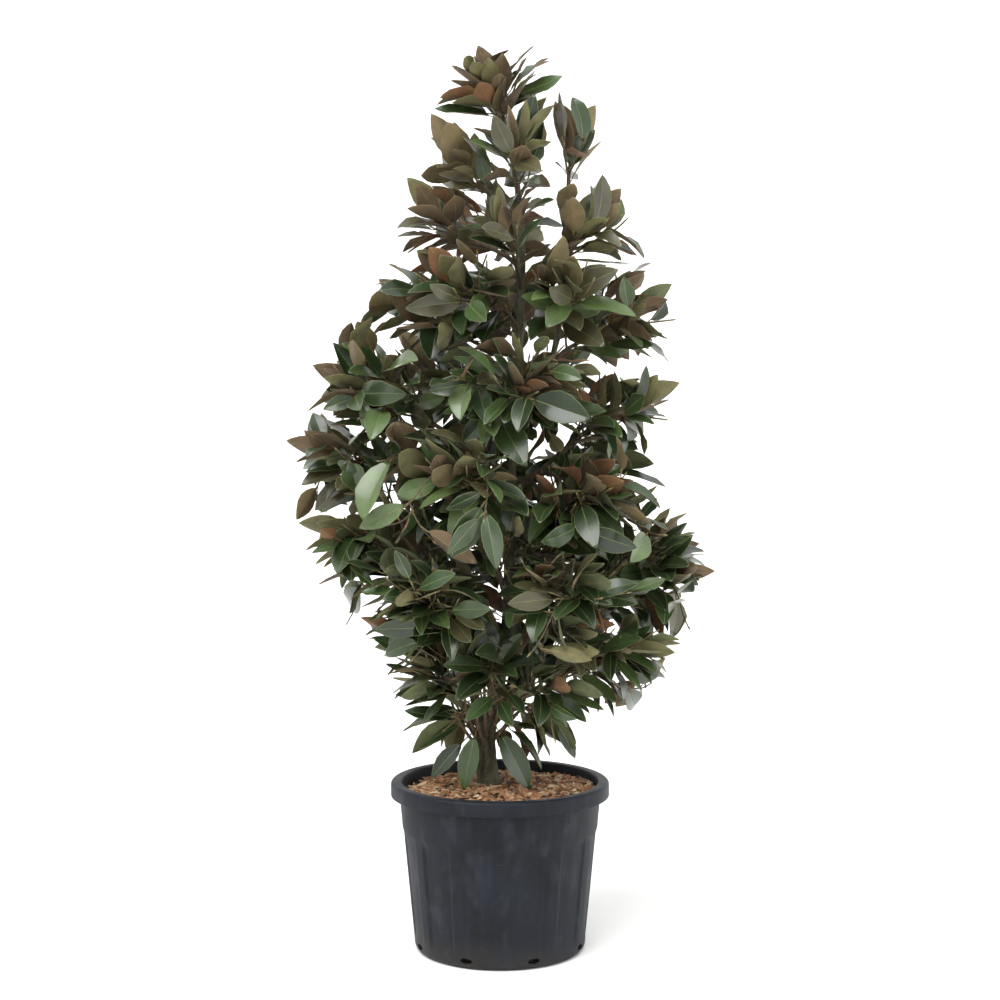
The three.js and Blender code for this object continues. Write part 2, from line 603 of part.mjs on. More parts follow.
/** A shoot: a three-sided tube along a curve, with whorls of leaves drawn out of its faces. */
class Shoot {
  constructor(curve, { root, tip, steps = 1 }, whorls, roll) {
    const length = curve.getLength();
    const whorlStart = (whorl) => length - LEAF.root - (whorls - 1 - whorl) * LEAF.whorlSpacing;
    const levels = Array.from({ length: steps }, (_, i) => ({ at: (whorlStart(0) * i) / steps, roll }));
    for (let whorl = 0; whorl < whorls; whorl += 1) {
      const turned = roll + (whorl * Math.PI) / TWIG.sides;
      levels.push({ at: whorlStart(whorl), roll: turned, leafy: true });
      levels.push({ at: whorlStart(whorl) + LEAF.root, roll: turned });
    }
    const side = sideFor(curve.getTangentAt(0));
    this.levels = levels.map((level) => {
      const share = level.at / length;
      const axis = curve.getTangentAt(share);
      const centre = curve.getPointAt(share);
      squareTo(side, axis);
      const radius = THREE.MathUtils.lerp(root, tip, share);
      const around = (turn) => side.clone().applyAxisAngle(axis, turn);
      const corners = Array.from({ length: TWIG.sides }, (_, k) => centre.clone()
        .addScaledVector(around(level.roll + (2 * Math.PI * k) / TWIG.sides), radius));
      const outward = corners.map((_, k) => around(level.roll + (2 * Math.PI * (k + 0.5)) / TWIG.sides));
      return { ...level, axis, centre, corners, outward, blades: [] };
    });
    this.endBlade = null;
  }

  /** Root corners of the leaf on one side of a whorl. */
  rootAt(levelIndex, k) {
    const { corners } = this.levels[levelIndex];
    const above = this.levels[levelIndex + 1].corners;
    const next = (k + 1) % TWIG.sides;
    return [corners[k], corners[next], above[next], above[k]];
  }

  /** Corner of the shoot's end that lies lowest under a leaf's face, where the end leaf's midrib starts. */
  keelCorner(facing) {
    const { corners, centre } = this.levels.at(-1);
    const heights = corners.map((corner) => corner.clone().sub(centre).dot(facing));
    return heights.indexOf(Math.min(...heights));
  }

  /** Closed mesh of the tube with its leaves, as a solid. */
  solid() {
    const points = this.levels.flatMap((level) => level.corners);
    const faces = [0, 2, 1];
    const addBlade = (rootIndices, blade) => {
      const first = points.length;
      points.push(...blade);
      faces.push(...leafFaces(rootIndices, blade.map((_, i) => first + i)));
    };
    const tube = this.levels.slice(0, -1);
    tube.forEach((level, i) => {
      for (let k = 0; k < TWIG.sides; k += 1) {
        const here = i * TWIG.sides + k;
        const next = i * TWIG.sides + ((k + 1) % TWIG.sides);
        const [above, nextAbove] = [here + TWIG.sides, next + TWIG.sides];
        if (level.blades[k]) addBlade([here, next, nextAbove, above], level.blades[k]);
        else faces.push(here, next, above, next, nextAbove, above);
      }
    });
    const end = tube.length * TWIG.sides;
    if (this.endBlade) {
      const keel = this.keelCorner(this.endFacing);
      const corner = (k) => end + ((keel + k) % TWIG.sides);
      addBlade([corner(0), corner(0), corner(1), corner(2)], this.endBlade);
    } else {
      faces.push(end, end + 1, end + 2);
    }
    const geometry = new THREE.BufferGeometry().setFromPoints(points);
    return toSolid(geometry.setIndex(faces));
  }
}

/** The leaf at the end of a mass's stem, which reaches the mass's own tip. */
function terminalLeaf(plan) {
  const { leafDirection, target, stemEnd } = plan;
  const sideways = new THREE.Vector3(-target.y, target.x, 0).normalize();
  const [upShare, sideShare] = LEAF.endFacing;
  const facing = UP.clone().multiplyScalar(upShare).addScaledVector(sideways, sideShare * Math.sign(target.x));
  const blade = bladeCorners(stemEnd, leafDirection, facing, stemEnd.distanceTo(target));
  const probe = leafProbe([stemEnd, stemEnd, blade[4], blade[0]], blade, PROBE.end);
  return { facing, blade, probe };
}

/** One mass: its stem, side twigs and leaves, each kept only where it has room. */
class Mass {
  constructor(plan, index, obstacles, trunkCutter) {
    this.plan = plan;
    this.obstacles = obstacles;
    this.trunkCutter = trunkCutter;
    this.random = seededRandom(SEED + index);
    this.grown = []; // probes of the leaves and twigs so far
  }

  vary(low, high) {
    return low + (high - low) * this.random();
  }

  /** Whether a piece keeps to the mass's space and touches no limb and nothing grown so far. */
  hasRoom(probe, points, siblings = []) {
    return inOwnSpace(points, this.plan)
      && probe.intersect(this.obstacles).isEmpty()
      && [...this.grown, ...siblings].every((other) => probe.intersect(other).isEmpty());
  }

  /** Leaves that find room round a shoot's whorls, and at its end. Returns their probes. */
  dress(shoot) {
    const probes = [];
    const place = (root, direction, facing, length) => {
      for (const size of LEAF.sizesTried) {
        const middle = root[0].clone().lerp(root[2], 0.5);
        const blade = bladeCorners(middle, direction, facing, length * size);
        const probe = leafProbe(root, blade);
        if (this.hasRoom(probe, blade, probes)) {
          probes.push(probe);
          return blade;
        }
      }
      return undefined;
    };
    const leafLength = () => LEAF.length * (1 + LEAF.lengthSpread * (this.random() - 0.5));
    const tip = shoot.levels.at(-1);
    shoot.endFacing = shoot.endFacing ?? tip.outward[0].clone().multiplyScalar(-1);
    if (!shoot.endBlade) {
      const keel = shoot.keelCorner(shoot.endFacing);
      const corner = (k) => tip.corners[(keel + k) % TWIG.sides];
      const root = [corner(0), corner(0), corner(1), corner(2)];
      shoot.endBlade = place(root, tip.axis, shoot.endFacing, leafLength());
    }
    shoot.levels.forEach((level, i) => {
      if (!level.leafy) return;
      level.outward.forEach((outward, k) => {
        const pitch = this.vary(...LEAF.pitch) * DEGREE;
        const direction = level.axis.clone().multiplyScalar(Math.cos(pitch))
          .addScaledVector(outward, Math.sin(pitch)).normalize();
        const facing = level.axis.clone().applyAxisAngle(direction, this.vary(-LEAF.twist, LEAF.twist));
        level.blades[k] = place(shoot.rootAt(i, k), direction, facing, leafLength());
      });
    });
    return probes;
  }

  /** Stem with the terminal leaf that reaches the mass's own tip and two whorls behind it. */
  growStem() {
    const { stem } = this.plan;
    const whorls = Math.min(STEM.mostWhorls, Math.floor(stem.getLength() / (1.5 * LEAF.whorlSpacing)));
    const shoot = new Shoot(stem, STEM, whorls, this.vary(0, 2 * Math.PI));
    const { facing, blade, probe } = terminalLeaf(this.plan);
    shoot.endFacing = facing;
    shoot.endBlade = blade;
    this.grown.push(probe);
    this.grown.push(...this.dress(shoot));
    return shoot.solid();
  }

  /** A side twig with its leaves, as long as there is room for; nothing where no leaf fits. */
  growSideTwig(index) {
    const { tier, stem } = this.plan;
    const firstPlace = this.plan.bareLength / stem.getLength();
    const share = (index + TWIG.placeSpread * this.random()) / tier.sideTwigs;
    const place = THREE.MathUtils.lerp(firstPlace, TWIG.lastPlace, share);
    const base = stem.getPointAt(place);
    const turn = index * GOLDEN_TURN + this.vary(-TWIG.rollSpread, TWIG.rollSpread);
    const direction = awayFrom(stem.getTangentAt(place), this.vary(...TWIG.pitch) * DEGREE, turn);
    direction.addScaledVector(UP, TWIG.lift).normalize();
    const fullLength = tier.twig * this.vary(...TWIG.lengthSpread);
    const roll = this.vary(0, 2 * Math.PI);
    for (const length of TWIG.sharesTried.map((tried) => tried * fullLength)) {
      const end = base.clone().addScaledVector(direction, length);
      const probe = taperedTube(new THREE.LineCurve3(base.clone().lerp(end, TWIG.buried), end), TWIG);
      if (this.hasRoom(probe, [end])) {
        const shoot = new Shoot(new THREE.LineCurve3(base, end), TWIG, length > TWIG.twoWhorlLength ? 2 : 1, roll);
        const leaves = this.dress(shoot);
        if (leaves.length > 1) {
          this.grown.push(probe, ...leaves);
          return shoot.solid();
        }
      }
    }
    return null;
  }

  grow() {
    const pieces = [this.growStem()];
    for (let index = 0; index < this.plan.tier.sideTwigs; index += 1) {
      const twig = this.growSideTwig(index);
      if (twig) pieces.push(twig);
    }
    return mainBody(wasm.Manifold.union(pieces).subtract(this.trunkCutter));
  }
}

// --------------------------------------------------------------------------- tree

const tree = new THREE.Group();
const pot = buildPot();
const soil = buildSoil();
const trunk = buildTrunk();
const trunkCutter = buildTrunk(GAP);
tree.add(partMesh('pot', toGeometry(pot), COLOURS.pot, 0.55));
tree.add(partMesh('soil', toGeometry(soil), COLOURS.mulch, 0.95));
tree.add(partMesh('trunk', toGeometry(trunk), COLOURS.bark, 0.9));

for (const plan of PLANS.filter((each) => each.bough)) {
  const bough = mainBody(boughTube(plan).subtract(trunkCutter));
  tree.add(partMesh(`bough_${plan.name}`, toGeometry(bough), COLOURS.bough, 0.85));
}

const limbs = [pot, soil, buildTrunk(CLEARANCE),
  ...PLANS.filter((plan) => plan.bough).map((plan) => boughTube(plan, CLEARANCE))];
const stems = PLANS.map((plan) => stemTube(plan, CLEARANCE).add(terminalLeaf(plan).probe));
PLANS.forEach((plan, index) => {
  const others = stems.filter((_, each) => each !== index);
  const obstacles = wasm.Manifold.union([...limbs, ...others]);
  const mass = new Mass(plan, index, obstacles, trunkCutter);
  const colour = COLOURS.foliage[index % COLOURS.foliage.length];
  tree.add(partMesh(`foliage_${plan.name}`, toGeometry(mass.grow()), colour, 0.6));
});

export default tree;
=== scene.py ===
"""A young evergreen magnolia in a black plant pot, finished for close viewing.

Metres, +Z up, +X to the right, +Y to the back; the origin is the centre of the pot's flat
underside. Sizes are written in millimetres, and MM brings them to metres when a mesh is
made. Limbs and masses of foliage follow the same rule and sizes as the solids, and twigs,
sprays of leaves and buds are then carried finer within the same spaces.
"""

import logging
import math
from dataclasses import dataclass, field
from enum import Enum, IntEnum
from typing import Callable, Optional, Sequence

import bpy
import numpy as np
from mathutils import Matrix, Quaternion, Vector, noise
from mathutils.bvhtree import BVHTree


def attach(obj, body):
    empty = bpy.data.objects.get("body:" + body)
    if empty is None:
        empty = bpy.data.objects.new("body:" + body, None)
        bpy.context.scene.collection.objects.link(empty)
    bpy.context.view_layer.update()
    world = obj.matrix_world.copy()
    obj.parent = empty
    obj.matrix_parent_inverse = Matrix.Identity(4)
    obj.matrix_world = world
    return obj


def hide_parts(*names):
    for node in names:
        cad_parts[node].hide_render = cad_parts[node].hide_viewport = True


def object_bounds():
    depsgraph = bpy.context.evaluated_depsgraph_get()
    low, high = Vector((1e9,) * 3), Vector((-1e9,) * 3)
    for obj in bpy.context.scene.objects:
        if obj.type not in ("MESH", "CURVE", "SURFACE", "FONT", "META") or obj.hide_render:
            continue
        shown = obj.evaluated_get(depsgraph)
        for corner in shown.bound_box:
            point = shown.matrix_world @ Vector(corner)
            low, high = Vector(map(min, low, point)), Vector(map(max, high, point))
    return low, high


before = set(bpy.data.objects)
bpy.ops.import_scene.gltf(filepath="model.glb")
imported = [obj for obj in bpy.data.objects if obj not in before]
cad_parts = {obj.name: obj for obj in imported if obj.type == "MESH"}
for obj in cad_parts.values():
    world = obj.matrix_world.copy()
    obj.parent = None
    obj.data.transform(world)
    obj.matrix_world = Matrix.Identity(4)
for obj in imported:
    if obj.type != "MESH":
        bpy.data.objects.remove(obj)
CAD_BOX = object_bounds()

Socket = bpy.types.NodeSocket
LOG = logging.getLogger("magnolia")
MM = 0.001
DEGREE = math.pi / 180
GOLDEN_TURN = 137.508 * DEGREE
UP = Vector((0.0, 0.0, 1.0))

GROUND = 450.0  # top of the mulch at the trunk
GAP = 0.3  # between a bough and the stem that goes on from it
CELL_MARGIN = 1.0  # each mass keeps this far inside its own space
BOX_MARGIN = 14.0  # foliage stands no further than this out of the solids' box


# --- random, vectors


class SeededRandom:
    """Small seeded random source, the same on every run."""

    MASK = 0xFFFFFFFF

    def __init__(self, seed: int) -> None:
        """Start from a seed.

        Args:
            seed: any whole number.
        """
        self.state = seed & self.MASK

    def next(self) -> float:
        """Draw the next number.

        Returns:
            A number from 0 up to 1.
        """
        self.state = (self.state + 0x6D2B79F5) & self.MASK
        mixed = ((self.state ^ (self.state >> 15)) * (self.state | 1)) & self.MASK
        mixed ^= (mixed + ((mixed ^ (mixed >> 7)) * (mixed | 61))) & self.MASK
        return ((mixed ^ (mixed >> 14)) & self.MASK) / 2**32

    def between(self, low: float, high: float) -> float:
        """Return a number between two limits."""
        return low + (high - low) * self.next()

    def pick(self, weighted: Sequence[tuple]) -> object:
        """Choose one of several by weight.

        Args:
            weighted: pairs of a choice and its weight.

        Returns:
            One of the choices.
        """
        mark = self.next() * sum(weight for _, weight in weighted)
        for choice, weight in weighted:
            mark -= weight
            if mark <= 0:
                return choice
        return weighted[-1][0]


def mix(low: float, high: float, share: float) -> float:
    """Return the value at a share of the way from low to high."""
    return low + (high - low) * share


def side_for(axis: Vector) -> Vector:
    """Return a level direction that isn't along an axis."""
    return Vector((1, 0, 0)) if abs(axis.x) < 0.9 else Vector((0, 1, 0))


def square_to(side: Vector, axis: Vector) -> Vector:
    """Return a side direction turned square to an axis."""
    return (side - axis * side.dot(axis)).normalized()


def away_from(axis: Vector, pitch: float, roll: float) -> Vector:
    """Lean a direction away from an axis.

    Args:
        axis: direction to lean away from.
        pitch: angle between the two, in radians.
        roll: turn round the axis, in radians.

    Returns:
        The leaning direction, of length 1.
    """
    side = Quaternion(axis, roll) @ square_to(side_for(axis), axis)
    return (axis * math.cos(pitch) + side * math.sin(pitch)).normalized()


def climbing(azimuth: float, rise_degrees: float) -> Vector:
    """Climb from a direction on the level.

    Args:
        azimuth: the direction, in radians.
        rise_degrees: the climb, in degrees.

    Returns:
        The climbing direction, of length 1.
    """
    rise = rise_degrees * DEGREE
    level = math.cos(rise)
    return Vector((math.cos(azimuth) * level, math.sin(azimuth) * level, math.sin(rise)))


# --- axes


class Axis:
    """A curve in space that can be walked by its length."""

    SAMPLES = 32

    def point(self, t: float) -> Vector:
        """Return the point at a parameter from 0 to 1."""
        raise NotImplementedError

    def measure(self) -> None:
        """Measure the curve, so that it can be walked by its length."""
        self.parameters = np.linspace(0, 1, self.SAMPLES + 1)
        points = np.array([self.point(t) for t in self.parameters])
        steps = np.linalg.norm(np.diff(points, axis=0), axis=1)
        self.distances = np.concatenate([[0], np.cumsum(steps)])
        self.length = float(self.distances[-1])

    def tangent(self, t: float) -> Vector:
        """Return the direction of the curve at a parameter."""
        step = 1e-3
        return (self.point(min(1, t + step)) - self.point(max(0, t - step))).normalized()

    def parameter_at(self, share: float) -> float:
        """Return the parameter at a share of the curve's length."""
        return float(np.interp(share * self.length, self.distances, self.parameters))

    def point_at(self, share: float) -> Vector:
        """Return the point at a share of the curve's length."""
        return self.point(self.parameter_at(share))

    def tangent_at(self, share: float) -> Vector:
        """Return the direction at a share of the curve's length."""
        return self.tangent(self.parameter_at(share))


class SpringCurve(Axis):
    """A springy shoot: it leaves in one direction and arrives in another."""

    PULL = 0.38

    def __init__(self, start: Vector, leaving: Vector, end: Vector, arriving: Vector) -> None:
        """Lay the shoot.

        Args:
            start: first point.
            leaving: direction at the first point.
            end: last point.
            arriving: direction at the last point.
        """
        pull = (end - start).length * self.PULL
        self.controls = [start, start + leaving * pull, end - arriving * pull, end]
        self.measure()

    def point(self, t: float) -> Vector:
        """Find a point of the curve.

        Args:
            t: its parameter, 0 to 1.

        Returns:
            The point.
        """
        a, b, c, d = self.controls
        s = 1 - t
        return a * s**3 + b * (3 * s * s * t) + c * (3 * s * t * t) + d * t**3


class SmoothAxis(Axis):
    """A smooth curve through way points, eased by their distances."""

    SAMPLES = 120

    def __init__(self, points: Sequence[Vector]) -> None:
        """Lay the curve through its points."""
        self.points = list(points)
        self.measure()

    def point(self, t: float) -> Vector:
        """Find a point of the curve.

        Args:
            t: its parameter, 0 to 1.

        Returns:
            The point.
        """
        points, last = self.points, len(self.points) - 1
        index = min(int(t * last), last - 1)
        weight = t * last - index
        b, c = points[index], points[index + 1]
        a = points[index - 1] if index > 0 else b * 2 - c
        d = points[index + 2] if index + 2 <= last else c * 2 - b
        before, across, after = ((q - p).length ** 0.5 for p, q in ((a, b), (b, c), (c, d)))
        leaving = ((b - a) / before - (c - a) / (before + across) + (c - b) / across) * across
        arriving = ((c - b) / across - (d - b) / (across + after) + (d - c) / after) * across
        square = (c - b) * 3 - leaving * 2 - arriving
        cube = (b - c) * 2 + leaving + arriving
        return b + leaving * weight + square * weight**2 + cube * weight**3


class Limb(SmoothAxis):
    """A woody limb with a radius at every height."""

    def __init__(self, way_points: Sequence[tuple]) -> None:
        """Lay the limb.

        Args:
            way_points: x, y, height and radius of each way point.
        """
        self.way_points = list(way_points)
        super().__init__([Vector(way[:3]) for way in way_points])

    def parameter_of_height(self, z: float) -> float:
        """Find where the limb passes a height.

        Args:
            z: the height.

        Returns:
            The parameter there.
        """
        low, high = 0.0, 1.0
        while high - low > 1e-7:
            middle = (low + high) / 2
            if self.point(middle).z < z:
                low = middle
            else:
                high = middle
        return (low + high) / 2

    def radius_of_height(self, z: float) -> float:
        """Return the radius at a height."""
        heights = [way[2] for way in self.way_points]
        return float(np.interp(z, heights, [way[3] for way in self.way_points]))


# --- the tree's own plan

# Way points of the woody axes: x, y, height and radius.
LIMBS = {
    "leader": Limb([
        (-27, 0, GROUND, 33), (-29, 0, 480, 25), (-34, 2, 588, 22), (-10, 6, 713, 20),
        (16, 6, 850, 18.5), (27, -4, 1040, 17), (25, -6, 1233, 15.5), (41, 2, 1451, 13.5),
        (54, 6, 1696, 11.5), (57, -2, 1979, 9), (38, -4, 2130, 7.5), (22, 0, 2205, 6.5),
    ]),
    "right_leader": Limb([
        (32, -2, 1345, 11), (62, 4, 1420, 10.5), (128, 10, 1570, 9.5), (164, 8, 1734, 8.5),
        (170, 2, 1900, 7.5), (184, 4, 2045, 6.5),
    ]),
    "left_stem": Limb([
        (-47, -6, GROUND, 17), (-50, -6, 520, 14.5), (-53, -8, 600, 13.5), (-76, -12, 720, 12),
        (-108, -16, 880, 10.5), (-132, -14, 1030, 8.5),
    ]),
}


@dataclass(frozen=True)
class Tip:
    """The furthest tip of one mass, and the place on a limb that it springs from."""

    name: str
    azimuth: float  # degrees from the right, towards the back
    reach: float
    height: float
    limb_height: float
    limb: str = "leader"
    direct: bool = False  # its stem leaves the limb itself, with no bough between


@dataclass(frozen=True)
class Tier:
    """One storey of the crown."""

    name: str
    rise: float  # climb of its shoots at their tips, in degrees
    side_twigs: int
    twig: float  # length of a side twig
    tips: tuple
    bough: float = 0.0  # share of the way to the tip that a bough goes, 0 where there is none
    bough_rise: float = 0.0  # share of the climb that the bough makes


TIERS = (
    Tier("low", 0, 8, 140, (
        Tip("right", -18, 490, 838, 668), Tip("back_right", 50, 430, 790, 700),
        Tip("back_left", 122, 390, 775, 640), Tip("left", 178, 345, 830, 650, "left_stem"),
        Tip("front_left", 222, 350, 735, 612, "left_stem", True),
        Tip("front", 264, 310, 790, 640),
        Tip("front_right", 312, 400, 750, 622, direct=True),
    ), 0.3, 0.34),
    Tier("belly", 8, 10, 165, (
        Tip("right", 4, 594, 1037, 800), Tip("back_right", 62, 520, 1090, 860),
        Tip("back_left", 118, 500, 1060, 776), Tip("left", 182, 548, 1174, 900, "left_stem"),
        Tip("front_left", 236, 470, 1010, 778, "left_stem"),
        Tip("front_right", 306, 480, 1050, 748),
    ), 0.28, 0.44),
    Tier("waist", 16, 10, 160, (
        Tip("back_right", 30, 450, 1390, 1090), Tip("back", 100, 440, 1370, 1030),
        Tip("left", 178, 585, 1397, 1000, "left_stem"), Tip("front_left", 246, 420, 1330, 965),
        Tip("front_right", 318, 430, 1300, 925),
    ), 0.28, 0.46),
    Tier("shoulder", 26, 10, 150, (
        Tip("right", 2, 490, 1555, 1240), Tip("back_right", 70, 380, 1640, 1335, direct=True),
        Tip("back_left", 136, 400, 1650, 1400, direct=True), Tip("left", 187, 506, 1601, 1290),
        Tip("front", 276, 350, 1600, 1370, direct=True),
    ), 0.26, 0.44),
    Tier("neck", 38, 9, 140, (
        Tip("right", 8, 476, 1826, 1590, "right_leader"), Tip("back", 86, 290, 1850, 1640),
        Tip("left", 176, 331, 1836, 1560), Tip("front_left", 232, 300, 1900, 1690),
        Tip("front_right", 312, 290, 1880, 1700, "right_leader"),
    )),
    Tier("head", 50, 8, 125, (
        Tip("right", -8, 327, 2073, 1870, "right_leader"), Tip("back", 100, 240, 2120, 1900),
        Tip("left", 184, 250, 2105, 1850), Tip("front", 268, 210, 2060, 1800),
    )),
    Tier("crest", 62, 7, 105, (
        Tip("right", 12, 265, 2310, 2045, "right_leader"), Tip("back", 84, 150, 2300, 2020),
        Tip("left", 172, 188, 2282, 1985), Tip("front", 280, 140, 2280, 2065),
    )),
    Tier("top", 70, 9, 110, (Tip("tip", 176, 59, 2461, 2205),)),
    Tier("fork", -38, 4, 90, (
        Tip("left", 192, 246, 548, 596, "left_stem"), Tip("right", -14, 216, 560, 580),
    )),
)


@dataclass
class Wood:
    """Radii of one kind of round wood, at its root and its tip."""

    root: float
    tip: float


BOUGH = Wood(10.5, 7.5)
STEM = Wood(7.2, 3.2)
TWIG = Wood(3.7, 2.5)
SPRIG = Wood(2.7, 2.1)
THIN = Wood(5.4, 3.0)


@dataclass(frozen=True)
class ThinStem:
    """A thin stem that rises from the fork of the trunk into the foliage."""

    limb: str
    limb_height: float
    end: tuple
    climb: float = 0.9  # share of upright in the direction that it leaves in
    lean: float = 0.2  # share of outward in the direction that it arrives in

    def axis(self) -> SpringCurve:
        """Lay its course, outwards first and then upright.

        Returns:
            The course.
        """
        limb, end = LIMBS[self.limb], Vector(self.end)
        foot = limb.point(limb.parameter_of_height(self.limb_height))
        outward = Vector((end.x - foot.x, end.y - foot.y, 0)).normalized()
        leaving = (outward + UP * self.climb).normalized()
        return SpringCurve(foot, leaving, end, (outward * self.lean + UP).normalized())


THIN_STEMS = (
    ThinStem("left_stem", 548, (-150, -62, 770)), ThinStem("left_stem", 574, (-112, -84, 830)),
    ThinStem("leader", 540, (-78, -92, 850)), ThinStem("leader", 566, (-44, -80, 900)),
    ThinStem("leader", 585, (24, -96, 880)), ThinStem("leader", 556, (74, -80, 800)),
    ThinStem("leader", 600, (118, -70, 860)), ThinStem("leader", 630, (160, -40, 820)),
    ThinStem("left_stem", 560, (-140, 60, 820)), ThinStem("leader", 600, (60, 90, 840)),
)


@dataclass
class MassPlan:
    """Everything that settles where one mass grows."""

    tier: Tier
    tip: Tip
    SOLID_LEAF = 178.0  # stalk and blade of the solids' own end leaf
    ROOT_RISE = (26.0, 5.0, 62.0)  # added to the tier's rise, at least and at most, in degrees
    CARRY = 0.4  # how much of its first direction a bough still has at its tip
    HEART_SHARE = 0.55
    BARE = (8.0, 1.4)  # bare foot of a stem, and what its limb adds, in radii of the limb
    END_LEAF = 158.0  # stalk and blade of the leaf that reaches the mass's own tip

    def __post_init__(self) -> None:
        """Work out the bough, the stem and the heart of the mass."""
        tier, tip = self.tier, self.tip
        limb = LIMBS[tip.limb]
        turn = tip.azimuth * DEGREE
        self.name = f"{tier.name}_{tip.name}"
        self.target = Vector((tip.reach * math.cos(turn), tip.reach * math.sin(turn), tip.height))
        at_height = limb.parameter_of_height(tip.limb_height)
        root = limb.point(at_height)
        self.from_top = tip.limb_height >= limb.way_points[-1][2]
        heading = math.atan2(self.target.y - root.y, self.target.x - root.x)
        self.leaf_direction = climbing(heading, tier.rise)
        solid_end = self.target - self.leaf_direction * self.SOLID_LEAF
        over, least, most = self.ROOT_RISE
        direction = climbing(heading, min(max(tier.rise + over, least), most))
        if self.from_top:
            direction = limb.tangent(1)
        self.bough: Optional[SpringCurve] = None
        start = root
        if tier.bough and not tip.direct:
            end = root.lerp(self.target, tier.bough)
            end.z = mix(root.z, solid_end.z, tier.bough_rise)
            arriving = (solid_end - end).normalized().lerp(direction, self.CARRY).normalized()
            self.bough = SpringCurve(root, direction, end, arriving)
            start, direction = end + arriving * GAP, arriving
        self.heart = start.lerp(self.target, self.HEART_SHARE)
        bare, beside = self.BARE
        on_limb = not self.bough and not self.from_top
        self.bare = bare + (beside * limb.radius_of_height(tip.limb_height) if on_limb else 0.0)
        stem_end = self.target - self.leaf_direction * self.END_LEAF
        self.stem = SpringCurve(start, direction, stem_end, self.leaf_direction)


PLANS = [MassPlan(tier, tip) for tier in TIERS for tip in tier.tips]


class CrownSpace:
    """The crown's outline and the spaces that its masses share it out in."""

    FOOT = (500.0, 250.0)  # height and reach of the lowest foliage
    TOP_REACH = 120.0
    RING = 4  # a tier with as many tips reaches all round
    TURN_STEP = 2 * DEGREE
    HEIGHT_STEP = 10.0

    def __init__(self) -> None:
        """Read the outline from the tiers' tips."""
        self.hearts = np.array([plan.heart for plan in PLANS])
        self.box = np.array(CAD_BOX) / MM + np.array([[-BOX_MARGIN], [BOX_MARGIN]])
        self.top = max(plan.target.z for plan in PLANS)
        self.levels = []
        for tier in (each for each in TIERS if len(each.tips) >= self.RING):
            spokes = sorted((tip.azimuth % 360 * DEGREE, tip.reach) for tip in tier.tips)
            turns = np.array([turn for turn, _ in spokes])
            reaches = [reach for _, reach in spokes]
            wrapped = np.concatenate([[turns[-1] - math.tau], turns, [turns[0] + math.tau]])
            height = sum(tip.height for tip in tier.tips) / len(tier.tips)
            self.levels.append((height, wrapped, [reaches[-1], *reaches, reaches[0]]))
        self.outline = self.lay_out()

    def lay_out(self) -> np.ndarray:
        """Work out how far the crown reaches all round.

        Returns:
            Its reach, by height step and by direction step.
        """
        turns = np.arange(0, math.tau, self.TURN_STEP)
        heights = [self.FOOT[0], *(level[0] for level in self.levels), self.top]
        rings = [np.full(len(turns), self.FOOT[1])]
        rings += [np.interp(turns, level[1], level[2]) for level in self.levels]
        rings.append(np.full(len(turns), self.TOP_REACH))
        steps = np.arange(heights[0], heights[-1] + self.HEIGHT_STEP, self.HEIGHT_STEP)
        return np.array([np.interp(steps, heights, spoke) for spoke in np.array(rings).T]).T

    def reaches(self, points: np.ndarray) -> np.ndarray:
        """Look up how far the crown reaches.

        Args:
            points: places, in millimetres.

        Returns:
            Its reach at the height and in the direction of each.
        """
        turns = np.arctan2(points[:, 1], points[:, 0]) % math.tau
        columns = np.round(turns / self.TURN_STEP).astype(int) % self.outline.shape[1]
        rows = np.round((points[:, 2] - self.FOOT[0]) / self.HEIGHT_STEP).astype(int)
        inside = (points[:, 2] >= self.FOOT[0]) & (points[:, 2] <= self.top)
        return np.where(inside, self.outline[np.clip(rows, 0, len(self.outline) - 1), columns], 0.0)

    def within(self, points: np.ndarray, index: int) -> np.ndarray:
        """Tell which points keep to one mass's space.

        Args:
            points: places, in millimetres.
            index: which mass.

        Returns:
            For each, whether it lies in the crown, and nearer to that heart than to any other.
        """
        own = self.hearts[index]
        apart = np.linalg.norm(self.hearts - own, axis=1)
        apart[index] = 1.0
        squares = ((points[:, None, :] - self.hearts[None]) ** 2).sum(axis=2)
        lead = (squares - squares[:, index:index + 1]) / (2 * apart)
        lead[:, index] = np.inf
        in_crown = np.hypot(points[:, 0], points[:, 1]) <= self.reaches(points)
        in_box = ((points > self.box[0]) & (points < self.box[1])).all(axis=1)
        return in_crown & in_box & (lead > CELL_MARGIN).all(axis=1)


class WoodSpace:
    """The room that trunk and boughs take up, as balls along their axes."""

    STEP = 9.0
    CLEAR = 3.0

    def __init__(self) -> None:
        """Gather balls along every limb and bough."""
        balls = []
        for limb in LIMBS.values():
            for share in np.linspace(0, 1, int(limb.length / self.STEP)):
                point = limb.point_at(share)
                balls.append((*point, limb.radius_of_height(point.z)))
        courses = [(plan.bough, BOUGH) for plan in PLANS if plan.bough]
        courses += [(stem.axis(), THIN) for stem in THIN_STEMS]
        for axis, wood in courses:
            for share in np.linspace(0, 1, int(axis.length / self.STEP)):
                balls.append((*axis.point_at(share), mix(wood.root, wood.tip, share)))
        self.centres = np.array([ball[:3] for ball in balls])
        self.radii = np.array([ball[3] for ball in balls])

    def clears(self, points: np.ndarray) -> bool:
        """Return whether all points are clear of trunk and boughs."""
        distances = np.linalg.norm(points[:, None, :] - self.centres[None], axis=2)
        return bool((distances > self.radii + self.CLEAR).all())


# --- making meshes


